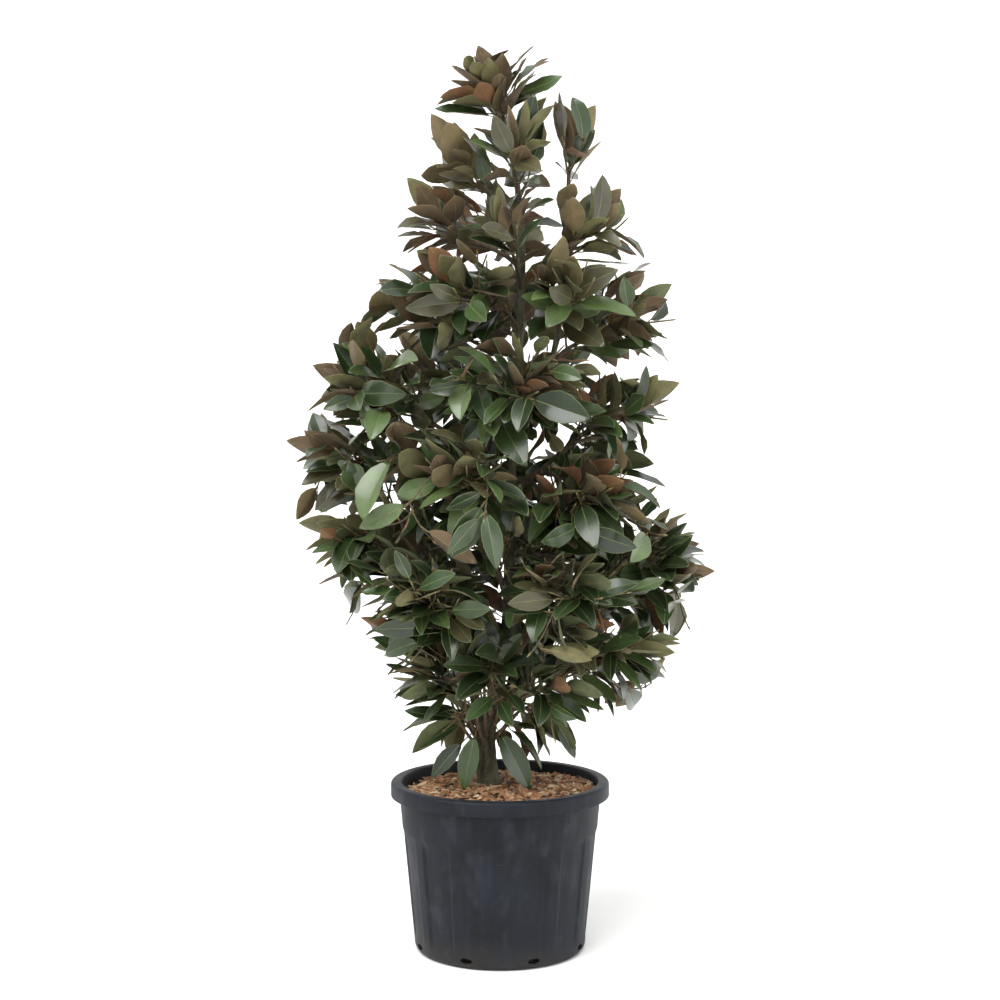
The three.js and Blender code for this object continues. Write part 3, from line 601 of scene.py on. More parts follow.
class MeshStock:
    """Points and faces gathered for one joined mesh."""

    def __init__(self) -> None:
        """Start empty."""
        self.points: list[np.ndarray] = []
        self.marks: list[np.ndarray] = []
        self.faces: list[np.ndarray] = []
        self.slots: list[np.ndarray] = []
        self.count = 0

    def add(self, points: np.ndarray, faces: np.ndarray, slots: np.ndarray, marks: np.ndarray) -> None:
        """Add one closed shape.

        Args:
            points: its corners, in millimetres.
            faces: rows of four corners; a triangle repeats its last.
            slots: which finish each face has.
            marks: place of each corner on the piece's own pattern.
        """
        self.points.append(points)
        self.faces.append(faces + self.count)
        self.slots.append(slots)
        self.marks.append(marks)
        self.count += len(points)

    def build(
        self, name: str, materials: Sequence[bpy.types.Material], smooth: bool = True
    ) -> bpy.types.Object:
        """Make the joined mesh.

        Args:
            name: the piece's name.
            materials: its finishes, in the order of the slots.
            smooth: whether it is shaded smooth.

        Returns:
            The new object, at the origin.
        """
        points = np.concatenate(self.points) * MM
        faces = np.concatenate(self.faces)
        slots = np.concatenate(self.slots)
        marks = np.concatenate(self.marks)
        triangles = faces[:, 2] == faces[:, 3]
        order = np.argsort(triangles, kind="stable")
        faces, slots, triangles = faces[order], slots[order], triangles[order]
        sizes = np.where(triangles, 3, 4)
        loops = np.concatenate([faces[~triangles].ravel(), faces[triangles][:, :3].ravel()])
        mesh = bpy.data.meshes.new(name)
        mesh.vertices.add(len(points))
        mesh.vertices.foreach_set("co", points.astype(np.float32).ravel())
        mesh.loops.add(len(loops))
        mesh.loops.foreach_set("vertex_index", loops.astype(np.int32))
        mesh.polygons.add(len(faces))
        mesh.polygons.foreach_set("loop_start", (np.cumsum(sizes) - sizes).astype(np.int32))
        mesh.polygons.foreach_set("material_index", slots.astype(np.int32))
        mesh.polygons.foreach_set("use_smooth", np.full(len(faces), smooth))
        for material in materials:
            mesh.materials.append(material)
        layer = mesh.uv_layers.new(name="surface")
        layer.data.foreach_set("uv", marks[loops].astype(np.float32).ravel())
        mesh.update(calc_edges=True)
        mesh.validate()
        piece = bpy.data.objects.new(name, mesh)
        bpy.context.scene.collection.objects.link(piece)
        return piece


def tube(
    centres: Sequence[Vector], radii: Sequence[float], sides: int, relief: Optional[Callable] = None
) -> tuple[np.ndarray, np.ndarray, np.ndarray]:
    """Wrap a closed round skin round an axis.

    Args:
        centres: points of the axis.
        radii: radius at each.
        sides: corners round it.
        relief: what is added to the radius at a point.

    Returns:
        Corners, faces and the pattern's marks.
    """
    rings, marks = [], []
    along = (centres[1] - centres[0]).normalized()
    side = square_to(side_for(along), along)
    walked = 0.0
    for index, (centre, radius) in enumerate(zip(centres, radii)):
        before, after = centres[max(0, index - 1)], centres[min(len(centres) - 1, index + 1)]
        along = (after - before).normalized()
        side = square_to(side, along)
        across = along.cross(side)
        walked += (centre - before).length
        for k in range(sides):
            turn = math.tau * k / sides
            outward = side * math.cos(turn) + across * math.sin(turn)
            grown = radius + (relief(centre + outward * radius) if relief else 0.0)
            rings.append(centre + outward * grown)
            marks.append((k / sides, walked))
    count = len(centres)
    rings += [centres[0], centres[-1]]
    marks += [(0.0, 0.0), (0.0, walked)]
    here = np.arange(count - 1)[:, None] * sides + np.arange(sides)[None]
    there = np.arange(count - 1)[:, None] * sides + (np.arange(sides)[None] + 1) % sides
    walls = np.stack([here, there, there + sides, here + sides], axis=2).reshape(-1, 4)
    k = np.arange(sides)
    foot, tip = np.full(sides, count * sides), np.full(sides, count * sides + 1)
    last = (count - 1) * sides
    foot_cap = np.stack([(k + 1) % sides, k, foot, foot], axis=1)
    tip_cap = np.stack([last + k, last + (k + 1) % sides, tip, tip], axis=1)
    return np.array(rings), np.concatenate([walls, foot_cap, tip_cap]), np.array(marks)


def place(piece: bpy.types.Object, replaced: Sequence[str] = ()) -> None:
    """Fix a finished piece to the frame.

    Args:
        piece: the piece.
        replaced: nodes that it stands for.
    """
    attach(piece, "root")
    if replaced:
        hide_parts(*replaced)
    LOG.info("%s: %d faces", piece.name, len(piece.data.polygons))


def deselect() -> None:
    """Leave nothing selected."""
    bpy.ops.object.select_all(action="DESELECT")


def spun(name: str, profile: Sequence[tuple], steps: int) -> bpy.types.Object:
    """Turn a profile round the upright axis.

    Args:
        name: the piece's name.
        profile: radius and height of its points, from the axis round to the axis.
        steps: sides of the turned shape.

    Returns:
        The closed object, its faces outwards.
    """
    deselect()
    mesh = bpy.data.meshes.new(name)
    points = [(radius * MM, 0.0, z * MM) for radius, z in profile]
    mesh.from_pydata(points, [(k, k + 1) for k in range(len(points) - 1)], [])
    piece = bpy.data.objects.new(name, mesh)
    bpy.context.scene.collection.objects.link(piece)
    bpy.context.view_layer.objects.active = piece
    piece.select_set(True)
    bpy.ops.object.mode_set(mode="EDIT")
    bpy.ops.mesh.select_all(action="SELECT")
    bpy.ops.mesh.spin(steps=steps, angle=math.tau, center=(0, 0, 0), axis=(0, 0, 1))
    bpy.ops.mesh.select_all(action="SELECT")
    bpy.ops.mesh.remove_doubles(threshold=0.02 * MM)
    bpy.ops.mesh.normals_make_consistent(inside=False)
    bpy.ops.object.mode_set(mode="OBJECT")
    return piece


def reshape(piece: bpy.types.Object, move: Callable[[np.ndarray], np.ndarray]) -> None:
    """Move all corners of a piece.

    Args:
        piece: the piece.
        move: gives the new places for the old ones, both in millimetres.
    """
    mesh = piece.data
    places = np.zeros(len(mesh.vertices) * 3)
    mesh.vertices.foreach_get("co", places)
    moved = move(places.reshape(-1, 3) / MM) * MM
    mesh.vertices.foreach_set("co", moved.ravel())
    mesh.update()


def smooth_by_angle(piece: bpy.types.Object, degrees: float) -> None:
    """Shade a piece smooth, with its sharp edges kept crisp.

    Args:
        piece: the piece.
        degrees: the angle from which an edge is sharp.
    """
    deselect()
    bpy.context.view_layer.objects.active = piece
    piece.select_set(True)
    bpy.ops.object.shade_smooth_by_angle(angle=degrees * DEGREE)
    piece.select_set(False)


# --- finishes


def linear(colour: Sequence[float], strength: float = 1.0) -> tuple:
    """Turn a screen colour into the linear one that a shader takes.

    Args:
        colour: its three parts, 0 to 255.
        strength: what they are multiplied by.

    Returns:
        Red, green, blue and alpha, 0 to 1.
    """
    shares = [max(0.0, part * strength) / 255 for part in colour]
    curve = [share / 12.92 if share <= 0.04045 else ((share + 0.055) / 1.055) ** 2.4 for share in shares]
    return (*curve, 1.0)


class NodeBench:
    """A new material's node tree, with short ways to add to it."""

    def __init__(self, name: str) -> None:
        """Start a material with its shader and its object coordinates.

        Args:
            name: the material's name.
        """
        self.material = bpy.data.materials.new(name)
        self.material.use_nodes = True
        self.nodes = self.material.node_tree.nodes
        self.links = self.material.node_tree.links
        self.shader = self.nodes["Principled BSDF"]
        self.coordinates = self.nodes.new("ShaderNodeTexCoord")

    def link(self, source: Socket, target: Socket) -> None:
        """Join two sockets."""
        self.links.new(source, target)

    def place(self, stretch: Sequence[float] = (1, 1, 1), use_surface: bool = False) -> Socket:
        """Stretch coordinates along the axes.

        Args:
            stretch: how much finer a pattern gets along each.
            use_surface: whether they are those of the piece's own map.

        Returns:
            The stretched coordinates.
        """
        mapping = self.nodes.new("ShaderNodeMapping")
        mapping.inputs["Scale"].default_value = stretch
        self.link(self.coordinates.outputs["UV" if use_surface else "Object"], mapping.inputs["Vector"])
        return mapping.outputs["Vector"]

    def noise(self, scale: float, detail: float = 4, where: Optional[Socket] = None) -> Socket:
        """Add cloudy noise.

        Args:
            scale: clouds to a metre.
            detail: how many finer layers it has.
            where: coordinates, else the object's.

        Returns:
            The noise, 0 to 1.
        """
        node = self.nodes.new("ShaderNodeTexNoise")
        node.inputs["Scale"].default_value = scale
        node.inputs["Detail"].default_value = detail
        self.link(where or self.coordinates.outputs["Object"], node.inputs["Vector"])
        return node.outputs["Fac"]

    def spots(self, scale: float, where: Optional[Socket] = None) -> Socket:
        """Scatter points.

        Args:
            scale: points to a metre.
            where: coordinates, else the object's.

        Returns:
            The distance to the nearest point.
        """
        node = self.nodes.new("ShaderNodeTexVoronoi")
        node.inputs["Scale"].default_value = scale
        self.link(where or self.coordinates.outputs["Object"], node.inputs["Vector"])
        return node.outputs["Distance"]

    def band(self, value: Socket, low: float, high: float) -> Socket:
        """Cut a band out of a value.

        Args:
            value: the value.
            low: where the band starts.
            high: where it is full, which may be the lower of the two.

        Returns:
            0 before the band and 1 beyond it.
        """
        node = self.nodes.new("ShaderNodeMapRange")
        node.inputs["From Min"].default_value = min(low, high)
        node.inputs["From Max"].default_value = max(low, high)
        node.inputs["To Min"].default_value = 0.0 if low < high else 1.0
        node.inputs["To Max"].default_value = 1.0 if low < high else 0.0
        self.link(value, node.inputs["Value"])
        return node.outputs["Result"]

    def math(self, operation: str, first: object, second: object) -> Socket:
        """Do a sum.

        Args:
            operation: its kind.
            first: a socket or a number.
            second: another.

        Returns:
            The result.
        """
        node = self.nodes.new("ShaderNodeMath")
        node.operation = operation
        for socket, value in zip(node.inputs, (first, second)):
            if isinstance(value, Socket):
                self.link(value, socket)
            else:
                socket.default_value = value
        return node.outputs["Value"]

    def blend(self, share: Socket, first: object, second: object) -> Socket:
        """Mix two colours.

        Args:
            share: how much of the second there is.
            first: a socket or a linear colour.
            second: another.

        Returns:
            The mixed colour.
        """
        node = self.nodes.new("ShaderNodeMix")
        node.data_type = "RGBA"
        self.link(share, node.inputs["Factor"])
        colours = [socket for socket in node.inputs if socket.type == "RGBA"]
        for socket, value in zip(colours, (first, second)):
            if isinstance(value, Socket):
                self.link(value, socket)
            else:
                socket.default_value = value
        return next(socket for socket in node.outputs if socket.type == "RGBA")

    def shade(self, share: Socket, colour: tuple, shades: tuple) -> Socket:
        """Return a screen colour that goes between two shades of itself."""
        return self.blend(share, linear(colour, shades[0]), linear(colour, shades[1]))

    def over(self, base: Socket, share: object, most: float, colour: tuple) -> Socket:
        """Return a base with a linear colour laid over it, at most by a share."""
        return self.blend(self.math("MULTIPLY", share, most), base, colour)

    def colour(self, base: Socket) -> None:
        """Give the shader its base colour."""
        self.link(base, self.shader.inputs["Base Color"])

    def bump(self, height: Socket, depth: float, strength: float) -> None:
        """Raise the surface by a pattern.

        Args:
            height: the pattern.
            depth: how far it reaches, in millimetres.
            strength: how much of it shows.
        """
        node = self.nodes.new("ShaderNodeBump")
        node.inputs["Strength"].default_value = strength
        node.inputs["Distance"].default_value = depth * MM
        self.link(height, node.inputs["Height"])
        self.link(node.outputs["Normal"], self.shader.inputs["Normal"])

    def set(self, **values: float) -> None:
        """Set the shader's own sockets, named with underscores for spaces."""
        for name, value in values.items():
            self.shader.inputs[name.replace("_", " ")].default_value = value


class Tint(Enum):
    """Plain colours of leaves and shoots, as they look in soft daylight."""

    PINE = (31, 45, 24)
    DEEP = (40, 57, 28)
    LEAF = (56, 75, 40)
    MOSS = (76, 94, 54)
    BRONZE = (68, 64, 43)
    OLIVE = (102, 98, 61)
    FELT = (110, 96, 64)
    UMBER = (94, 77, 52)
    RUST = (112, 78, 46)
    SAGE = (82, 89, 53)
    RIB = (104, 116, 66)
    # MARGIN is the pale strip along each leaf's upper edge: partly the leaf's own paler margin, partly
    # painted highlight of its glossy edge.
    MARGIN = (88, 98, 60)
    STALK = (120, 106, 66)
    SHOOT = (82, 72, 46)
    TWIG = (80, 64, 48)
    BUD = (122, 112, 78)


# Each tint of a leaf's sides, and how many sprays have it at the crown's foot and at its top. The darker
# tints dealt towards the foot are partly painted shade of the dense lower crown, and partly the leaves' own
# colour.
UPPER_TINTS = (
    (Tint.PINE, 0.46, 0.14), (Tint.DEEP, 0.34, 0.22), (Tint.LEAF, 0.18, 0.24), (Tint.MOSS, 0.04, 0.14),
    (Tint.BRONZE, 0.0, 0.4),
)
UNDER_TINTS = (
    (Tint.OLIVE, 0.3, 0.34), (Tint.FELT, 0.12, 0.26), (Tint.UMBER, 0.16, 0.26), (Tint.RUST, 0.09, 0.1),
    (Tint.SAGE, 0.42, 0.0),
)
CLOUD = (0.3, 0.7)  # where cloudy noise starts to show and where it is full


@dataclass(frozen=True)
class UpperLeaf:
    """The glossy upper side of a leathery leaf."""

    tint: Tint
    shades: tuple = (0.86, 1.14)
    roughness: float = 0.3
    coat: float = 0.22
    coat_roughness: float = 0.2

    def material(self) -> bpy.types.Material:
        """Mix the finish.

        Returns:
            Its material.
        """
        bench = NodeBench(f"leaf_upper_{self.tint.name.lower()}")
        cloud = bench.band(bench.noise(scale=14, detail=3), *CLOUD)
        bench.colour(bench.shade(cloud, self.tint.value, self.shades))
        bench.set(Roughness=self.roughness, Coat_Weight=self.coat, Coat_Roughness=self.coat_roughness)
        bench.bump(bench.noise(scale=170, detail=3), depth=0.9, strength=0.35)
        return bench.material


@dataclass(frozen=True)
class UnderLeaf:
    """The felted under side of a leaf."""

    tint: Tint
    shades: tuple = (0.82, 1.1)
    roughness: float = 0.72
    sheen: float = 0.05
    sheen_roughness: float = 0.5

    def material(self) -> bpy.types.Material:
        """Mix the finish.

        Returns:
            Its material.
        """
        bench = NodeBench(f"leaf_under_{self.tint.name.lower()}")
        cloud = bench.band(bench.noise(scale=22), *CLOUD)
        bench.colour(bench.shade(cloud, self.tint.value, self.shades))
        bench.set(Roughness=self.roughness, Sheen_Weight=self.sheen, Sheen_Roughness=self.sheen_roughness)
        bench.bump(bench.noise(scale=420), depth=0.5, strength=0.4)
        return bench.material


@dataclass(frozen=True)
class PlainGrowth:
    """Ribs, leaf stalks, pale leaf margins, young shoots and buds; the margins are partly painted edge
    highlight.
    """

    tint: Tint
    roughness: float
    grain: float = 260.0
    shades: tuple = (0.8, 1.15)

    def material(self) -> bpy.types.Material:
        """Mix the finish.

        Returns:
            Its material.
        """
        bench = NodeBench(f"growth_{self.tint.name.lower()}")
        cloud = bench.band(bench.noise(self.grain / 4), *CLOUD)
        bench.colour(bench.shade(cloud, self.tint.value, self.shades))
        bench.set(Roughness=self.roughness)
        bench.bump(bench.noise(self.grain, detail=3), depth=0.5, strength=0.5)
        return bench.material


@dataclass(frozen=True)
class Bark:
    """Grey-brown bark with pale pores, cracks and a greenish bloom."""

    name: str
    dark: tuple
    light: tuple
    bloom: tuple = (84, 86, 62)
    pore_shade: float = 1.32
    roughness: float = 0.82
    streak_stretch: tuple = (1.0, 1.0, 0.22)
    pore_stretch: tuple = (1.0, 1.0, 2.6)

    def material(self) -> bpy.types.Material:
        """Mix the finish.

        Returns:
            Its material.
        """
        bench = NodeBench(self.name)
        lengthwise = bench.place(self.streak_stretch)
        streaks = bench.band(bench.noise(90, 6, lengthwise), 0.32, 0.68)
        base = bench.blend(streaks, linear(self.dark), linear(self.light))
        mossy = bench.band(bench.noise(scale=17), 0.54, 0.72)
        base = bench.blend(mossy, base, linear(self.bloom))
        pores = bench.band(bench.spots(130, bench.place(self.pore_stretch)), 0.24, 0.12)
        bench.colour(bench.blend(pores, base, linear(self.light, self.pore_shade)))
        bench.set(Roughness=self.roughness)
        height = bench.math("ADD", bench.noise(120, 6, lengthwise), bench.math("MULTIPLY", pores, 0.5))
        bench.bump(height, depth=1.6, strength=0.8)
        return bench.material


@dataclass(frozen=True)
class PotPlastic:
    """Black moulded plastic under a grey bloom of dust, with scuffs and specks."""

    black: tuple = (8, 11, 17)
    dust: tuple = (30, 34, 43)
    dust_shades: tuple = (0.88, 1.15)  # of the film of dust, and of the runs in it
    scuff: tuple = (84, 86, 92)
    splash: tuple = (62, 57, 50)
    runs: float = 0.6
    rubs: float = 0.16
    flecks: float = 0.3
    splashes: float = 0.3
    splash_band: tuple = (0.11, 0.03)  # heights at which the splashes end and are full, in metres
    splash_waver: float = 0.05
    roughness: tuple = (0.5, 0.16)  # at least, and what dust adds
    specular: float = 0.2

    def material(self) -> bpy.types.Material:
        """Mix the finish.

        Returns:
            Its material.
        """
        bench = NodeBench("pot_plastic")
        film, run = (linear(self.dust, shade) for shade in self.dust_shades)
        cloud = bench.band(bench.noise(7, 7), 0.3, 0.72)
        base = bench.blend(cloud, linear(self.black), film)
        runs = bench.band(bench.noise(34, 5, bench.place((1.0, 1.0, 0.14))), 0.5, 0.78)
        base = bench.over(base, runs, self.runs, run)
        rubbed = bench.band(bench.noise(19, 9, bench.place((1.0, 1.0, 0.55))), 0.56, 0.72)
        base = bench.over(base, rubbed, self.rubs, linear(self.scuff))
        base = bench.over(base, bench.band(bench.spots(58), 0.1, 0.05), self.flecks, linear(self.scuff))
        upright = bench.nodes.new("ShaderNodeSeparateXYZ")
        bench.link(bench.coordinates.outputs["Object"], upright.inputs["Vector"])
        wavering = bench.math("ADD", upright.outputs["Z"], bench.math("MULTIPLY", cloud, self.splash_waver))
        foot = bench.band(wavering, *self.splash_band)
        bench.colour(bench.over(base, foot, self.splashes, linear(self.splash)))
        least, dusty = self.roughness
        rough = bench.math("ADD", bench.math("MULTIPLY", cloud, dusty), least)
        bench.link(rough, bench.shader.inputs["Roughness"])
        bench.set(Specular_IOR_Level=self.specular)
        height = bench.math("ADD", bench.noise(900, 3), bench.math("MULTIPLY", rubbed, 0.8))
        bench.bump(height, depth=0.25, strength=0.5)
        return bench.material


@dataclass(frozen=True)
class BarkChip:
    """Shredded bark, with fibres along the grain."""

    name: str
    colour: tuple
    fibre_stretch: tuple = (14.0, 1.6, 1.0)
    fibre_shades: tuple = (0.72, 1.12)
    stain: tuple = (0.4, 0.7)  # how much of it there is at most, and its shade
    roughness: float = 0.9

    def material(self) -> bpy.types.Material:
        """Mix the finish.

        Returns:
            Its material.
        """
        bench = NodeBench(self.name)
        grain = bench.place(self.fibre_stretch, use_surface=True)
        fibres = bench.band(bench.noise(70, 5, grain), *CLOUD)
        base = bench.shade(fibres, self.colour, self.fibre_shades)
        most, shade = self.stain
        cloud = bench.band(bench.noise(55, 3), 0.35, 0.7)
        bench.colour(bench.over(base, cloud, most, linear(self.colour, shade)))
        bench.set(Roughness=self.roughness)
        bench.bump(fibres, depth=0.9, strength=0.9)
        return bench.material


@dataclass(frozen=True)
class Compost:
    """The dark matt mix under the chips."""

    colour: tuple = (58, 44, 32)
    shades: tuple = (0.94, 1.03)
    grain: float = 60.0
    roughness: float = 0.9

    def material(self) -> bpy.types.Material:
        """Mix the finish.

        Returns:
            Its material.
        """
        bench = NodeBench("potting_mix")
        cloud = bench.band(bench.noise(self.grain, 6), 0.25, 0.75)
        bench.colour(bench.shade(cloud, self.colour, self.shades))
        bench.set(Roughness=self.roughness)
        bench.bump(bench.noise(self.grain * 6), depth=4, strength=0.6)
        return bench.material


# --- pot


@dataclass
class Pot:
    """The blown plant pot: rolled rim, ribbed panels, rounded foot and drain holes."""

    height: float = 465
    rim_radius: float = 300
    rim_width: float = 30
    skirt_depth: float = 40
    lip: float = 7
    wall: float = 5
    floor: float = 5
    shoulder_radius: float = 274
    shoulder_height: float = 425
    heel_radius: float = 235
    heel_height: float = 24
    foot_radius: float = 214
    panels: int = 12
    panel_depth: float = 4
    panel_bottom: float = 40
    panel_top: float = 328
    panel_share: tuple = (8.0, 9.6, 28.4, 30.0)  # degrees: rib ends, panel starts, ends, rib starts
    panel_ease: float = 6
    wall_rows: tuple = (3, 22)  # rows of corners below the panels and beside them
    heel_round: float = 21
    heel_arc: tuple = (-80, -5)
    band: tuple = ((336, 2.0), (339, 2.4))  # heights above the panels and how far the wall steps out
    ledge_drop: float = 12  # from the rim's top down to the ledge that it overhangs
    ledge: tuple = (2, 4, 7)  # how far the ledge's corners stand out of the shoulder
    chamfer: float = 3
    skirt_round: float = 2
    rim_straight: float = 24
    rim_round: float = 9
    rim_dip: tuple = (15, 0.6)  # how far in from its edge the rim's top dips, and by how much
    inner_round: float = 6
    neck: tuple = (7, 25)  # depths of the inside's corners below the rim's top
    steps: int = 360
    drains: int = 8
    drain_size: tuple = (34.0, 15.0, 50.0)
    drain_corners: int = 28
    wobble: float = 0.54
    wobble_turn: float = 0.7
    wobble_fade: float = 100
    crisp_above: float = 32

    def wall_radius(self, z: float) -> float:
        """Return the outside radius of the tapering wall at a height."""
        share = (z - self.heel_height) / (self.shoulder_height - self.heel_height)
        return mix(self.heel_radius, self.shoulder_radius, share)

    def inside_radius(self, z: float) -> float:
        """Measure the pot inside.

        Args:
            z: the height.

        Returns:
            Its radius there.
        """
        bottom = self.wall_radius(self.panel_bottom) - self.panel_depth - self.wall
        top = self.wall_radius(self.panel_top) - self.panel_depth - self.wall
        mouth = self.rim_radius - self.rim_width
        heights = [self.floor, self.panel_bottom, self.panel_top, self.height - self.inner_round]
        return float(np.interp(z, heights, [self.foot_radius - self.wall, bottom, top, mouth]))

    def arc(self, centre: tuple, radius: float, first: float, last: float, steps: int = 5) -> list[tuple]:
        """Return points of a rounding, between two angles in degrees."""
        turns = np.linspace(first * DEGREE, last * DEGREE, steps + 1)
        return [(centre[0] + radius * math.cos(turn), centre[1] + radius * math.sin(turn)) for turn in turns]

    def profile(self) -> list[tuple]:
        """Draw half a section of the wall.

        Returns:
            Radius and height of its points, from the underside's middle to the floor's.
        """
        top, rim = self.height, self.rim_radius
        skirt = top - self.skirt_depth + self.skirt_round
        under, overhang = top - self.ledge_drop, rim - self.lip
        below, beside = self.wall_rows
        wall_heights = np.linspace(self.heel_height, self.panel_bottom, below)[1:].tolist()
        wall_heights += np.linspace(self.panel_bottom, self.panel_top, beside)[1:].tolist()
        ledge_heights = (self.shoulder_height, under - self.chamfer, under)
        inner = rim - self.rim_width + self.inner_round
        inside = [*(top - depth for depth in self.neck), self.panel_top, self.panel_bottom, self.floor]
        return [
            (0, 0), (self.foot_radius * 0.5, 0), (self.foot_radius - 4, 0), (self.foot_radius, 0),
            *self.arc((self.foot_radius, self.heel_round), self.heel_round, *self.heel_arc),
            *[(self.wall_radius(z), z) for z in wall_heights],
            *[(self.wall_radius(z) + step, z) for z, step in self.band],
            *[(self.shoulder_radius + step, z) for step, z in zip(self.ledge, ledge_heights)],
            (overhang - self.chamfer, under), (overhang, under - self.chamfer), (overhang, skirt),
            *self.arc((rim - self.skirt_round, skirt), self.skirt_round, -120, 0, 3),
            (rim, top - self.rim_straight),
            *self.arc((rim - self.rim_round, top - self.rim_round), self.rim_round, 0, 90, 6),
            (rim - self.rim_dip[0], top - self.rim_dip[1]),
            *self.arc((inner, top - self.inner_round), self.inner_round, 90, 180),
            *[(self.inside_radius(z), z) for z in inside],
            (self.foot_radius * 0.5, self.floor), (0, self.floor),
        ]

    def flute(self, places: np.ndarray) -> np.ndarray:
        """Press the panels into the turned wall and let the rim waver a little.

        Args:
            places: corners of the turned pot, in millimetres.

        Returns:
            Their new places.
        """
        turn = np.arctan2(places[:, 1], places[:, 0])
        radius = np.hypot(places[:, 0], places[:, 1])
        z = places[:, 2]
        within = np.degrees(turn) % (360 / self.panels)
        rib_end, starts, ends, rib_start = self.panel_share
        across = np.interp(within, [rib_end, starts, ends, rib_start], [0, 1, 1, 0])
        ease, bottom, top = self.panel_ease, self.panel_bottom, self.panel_top
        upright = np.interp(z, [bottom - 2, bottom + ease, top - ease, top], [0, 1, 1, 0])
        outer = radius > np.array([self.wall_radius(height) for height in z]) - self.wall / 2
        pressed = np.where(outer & (z < top + 1), across * upright * self.panel_depth, 0.0)
        high = np.clip((z - self.band[0][0]) / self.wobble_fade, 0, 1)
        grown = radius - pressed - self.wobble * np.abs(np.sin(2 * turn + self.wobble_turn)) * high
        return np.stack([grown * np.cos(turn), grown * np.sin(turn), z], axis=1)

    def drain_cutter(self) -> bpy.types.Object:
        """Make one joined cutter for all drain holes.

        Returns:
            The cutter.
        """
        deselect()
        length, height, depth = (size * MM for size in self.drain_size)
        plugs = []
        for index in range(self.drains):
            turn = (index + 0.5) * math.tau / self.drains
            middle = (self.foot_radius + self.heel_radius) / 2 * MM
            bpy.ops.mesh.primitive_cylinder_add(
                vertices=self.drain_corners, radius=1, depth=depth,
                location=(middle * math.cos(turn), middle * math.sin(turn), self.heel_height * MM),
                rotation=(math.pi / 2, 0, turn + math.pi / 2))
            plug = bpy.context.object
            plug.scale = (length / 2, height / 2, 1)
            plugs.append(plug)
        for plug in plugs:
            plug.select_set(True)
        bpy.ops.object.join()
        return bpy.context.object

    def build(self) -> None:
        """Make the pot and set it in the frame."""
        piece = spun("pot_shell", self.profile(), self.steps)
        reshape(piece, self.flute)
        cutter = self.drain_cutter()
        drill = piece.modifiers.new("drains", "BOOLEAN")
        drill.operation = "DIFFERENCE"
        drill.solver = "EXACT"
        drill.object = cutter
        deselect()
        bpy.context.view_layer.objects.active = piece
        bpy.ops.object.modifier_apply(modifier=drill.name)
        bpy.data.objects.remove(cutter)
        piece.data.materials.clear()
        piece.data.materials.append(PotPlastic().material())
        smooth_by_angle(piece, self.crisp_above)
        place(piece, ["pot"])


# --- mulch


